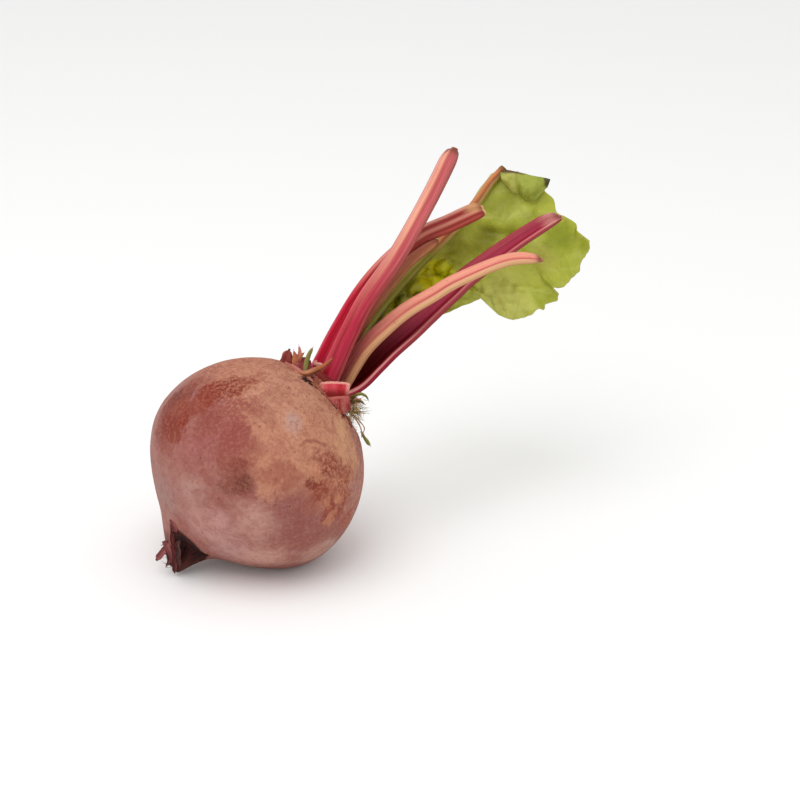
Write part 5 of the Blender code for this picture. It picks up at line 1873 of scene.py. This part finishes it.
# %% Node tree: hairs
def make_hair_tree():
    """Puts a bent, pointed hair on every point, along its aim."""
    inputs = [
        ("Points", "Geometry"),
        ("Thickness", "Float", 0.03),
        ("Bend", "Float", 0.35),
        ("Seed", "Int", 0),
        ("Material", "Material"),
    ]
    tree, given, out = new_group("hairs", "GeometryNodeTree", inputs, [("Geometry", "Geometry")])
    sizes = {
        "Vertices": 4, "Side Segments": 5, "Radius Top": 0.0, "Radius Bottom": given["Thickness"],
        "Depth": 1.0,
    }
    cone = place(tree, "GeometryNodeMeshCone", None, sizes).outputs["Mesh"]
    at = parts(tree, place(tree, "GeometryNodeInputPosition").outputs[0])
    bow = times(tree, times(tree, at["Z"], at["Z"]), given["Bend"])
    offset = joined(tree, bow, 0.0, 0.0)
    hair = place(tree, "GeometryNodeSetPosition", None, {"Geometry": cone, "Offset": offset}).outputs[0]
    aim = place(
        tree, "GeometryNodeInputNamedAttribute", {"data_type": "FLOAT_VECTOR"}, {"Name": "aim"},
    ).outputs[0]
    long = vector_maths(tree, "LENGTH", aim)
    upright = place(tree, "FunctionNodeAlignRotationToVector", {"axis": "Z"}, {"Vector": aim}).outputs[0]
    roll = place(
        tree, "FunctionNodeRandomValue", {"data_type": "FLOAT"},
        {"Min": -3.14, "Max": 3.14, "Seed": given["Seed"]},
    )
    spin = place(
        tree, "FunctionNodeAxisAngleToRotation", None, {"Axis": (0.0, 0.0, 1.0), "Angle": roll.outputs[1]},
    ).outputs[0]
    settings = {"rotation_space": "LOCAL"}
    turned = place(
        tree, "FunctionNodeRotateRotation", settings, {"Rotation": upright, "Rotate By": spin},
    ).outputs[0]
    ends = {
        "Points": given["Points"], "Instance": hair, "Rotation": turned,
        "Scale": joined(tree, long, long, long),
    }
    many = place(tree, "GeometryNodeInstanceOnPoints", None, ends).outputs[0]
    real = place(tree, "GeometryNodeRealizeInstances", None, {"Geometry": many}).outputs[0]
    made = place(tree, "GeometryNodeSetMaterial", None, {"Geometry": real, "Material": given["Material"]}).outputs[0]
    tree.links.new(made, out["Geometry"])
    return tree


HAIRS = make_hair_tree()
print("tree:", HAIRS.name, "with", len(HAIRS.nodes), "nodes")

# %% Hairs round the neck and on the tail
HAIR_SEED = 11
HAIR_BEND = 0.45
NECK_HAIRS = 420
NECK_STRAWS = 150
TAIL_HAIRS = 20


def points_mesh(name, places, aims):
    mesh = bpy.data.meshes.new(name)
    mesh.from_pydata([tuple(p) for p in places], [], [])
    store(mesh, "aim", "FLOAT_VECTOR", "vector", [tuple(a) for a in aims])
    return mesh


def neck_hairs(count, rng):
    """Places on the neck and the rim of the crown, with hairs that lean out and up."""
    axis = ROOT_FRAME.to_3x3() @ Vector((0.0, 0.0, 1.0))
    places, aims = [], []
    for _ in range(count):
        angle = rng.uniform(19.0, 31.0)
        side = rng.normal(-95.0, 55.0) if rng.random() < 0.75 else rng.uniform(-180.0, 180.0)
        spot = Vector(root_points(np.array([angle]), np.array([side]))[0])
        outward = (spot - ROOT_CENTRE).normalized()
        jitter = Vector(rng.normal(0.0, 0.45, 3))
        way = (outward * 0.8 + axis * rng.uniform(-0.7, 0.3) + jitter).normalized()
        places.append(spot - outward * 0.2 * MM)
        aims.append(way * rng.uniform(0.8, 3.2) * MM)
    return places, aims


def neck_straws(count, rng):
    """A tuft of longer dry fibres at the right of the neck."""
    places, aims = [], []
    for _ in range(count):
        spot = Vector((rng.normal(29.6, 1.6), rng.normal(-0.6, 1.4), rng.normal(55.6, 1.8)))
        way = Vector((0.5, -0.25, -0.35)) + Vector(rng.normal(0.0, 0.55, 3))
        places.append(spot * MM)
        aims.append(way.normalized() * rng.uniform(2.0, 5.5) * MM)
    return places, aims


def tail_hairs(count, rng):
    places, aims = [], []
    for _ in range(count):
        spot = Vector((rng.normal(-34.2, 1.0), rng.normal(-20.0, 0.5), rng.uniform(2.5, 9.0)))
        way = Vector((-1.0, -0.4, -0.2)) + Vector(rng.normal(0.0, 0.6, 3))
        places.append(spot * MM)
        aims.append(way.normalized() * rng.uniform(1.0, 3.4) * MM)
    return places, aims


def hair_material(name, first, second):
    material, tree, shader = new_material(name, Roughness=0.7)
    spot = place(tree, "ShaderNodeTexCoord").outputs["Object"]
    mix = fade(tree, cloud(tree, spot, 500.0, 2.0), 0.4, 0.6)
    tree.links.new(blend(tree, mix, paint(*first), paint(*second)), shader.inputs["Base Color"])
    return material


def add_hairs(name, places, aims, material, thickness, slot):
    values = {"Thickness": thickness, "Bend": HAIR_BEND, "Seed": HAIR_SEED, "Material": material}
    made = grown(name, points_mesh(name + "_points", places, aims), HAIRS, **values)
    made.data.shade_smooth()
    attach(made, "root")
    print(name, len(made.data.polygons), "faces")


rng = np.random.default_rng(HAIR_SEED)
add_hairs(
    "neck_hairs", *neck_hairs(NECK_HAIRS, rng), hair_material("dry_hair", (206, 158, 122), (140, 104, 66)),
    0.03, "crown",
)
add_hairs(
    "neck_straws", *neck_straws(NECK_STRAWS, rng),
    hair_material("dry_straw", (196, 160, 110), (130, 112, 60)), 0.035, "crown",
)
add_hairs(
    "tail_hairs", *tail_hairs(TAIL_HAIRS, rng), hair_material("root_hair", (120, 66, 58), (84, 44, 38)), 0.05,
    "skin",
)
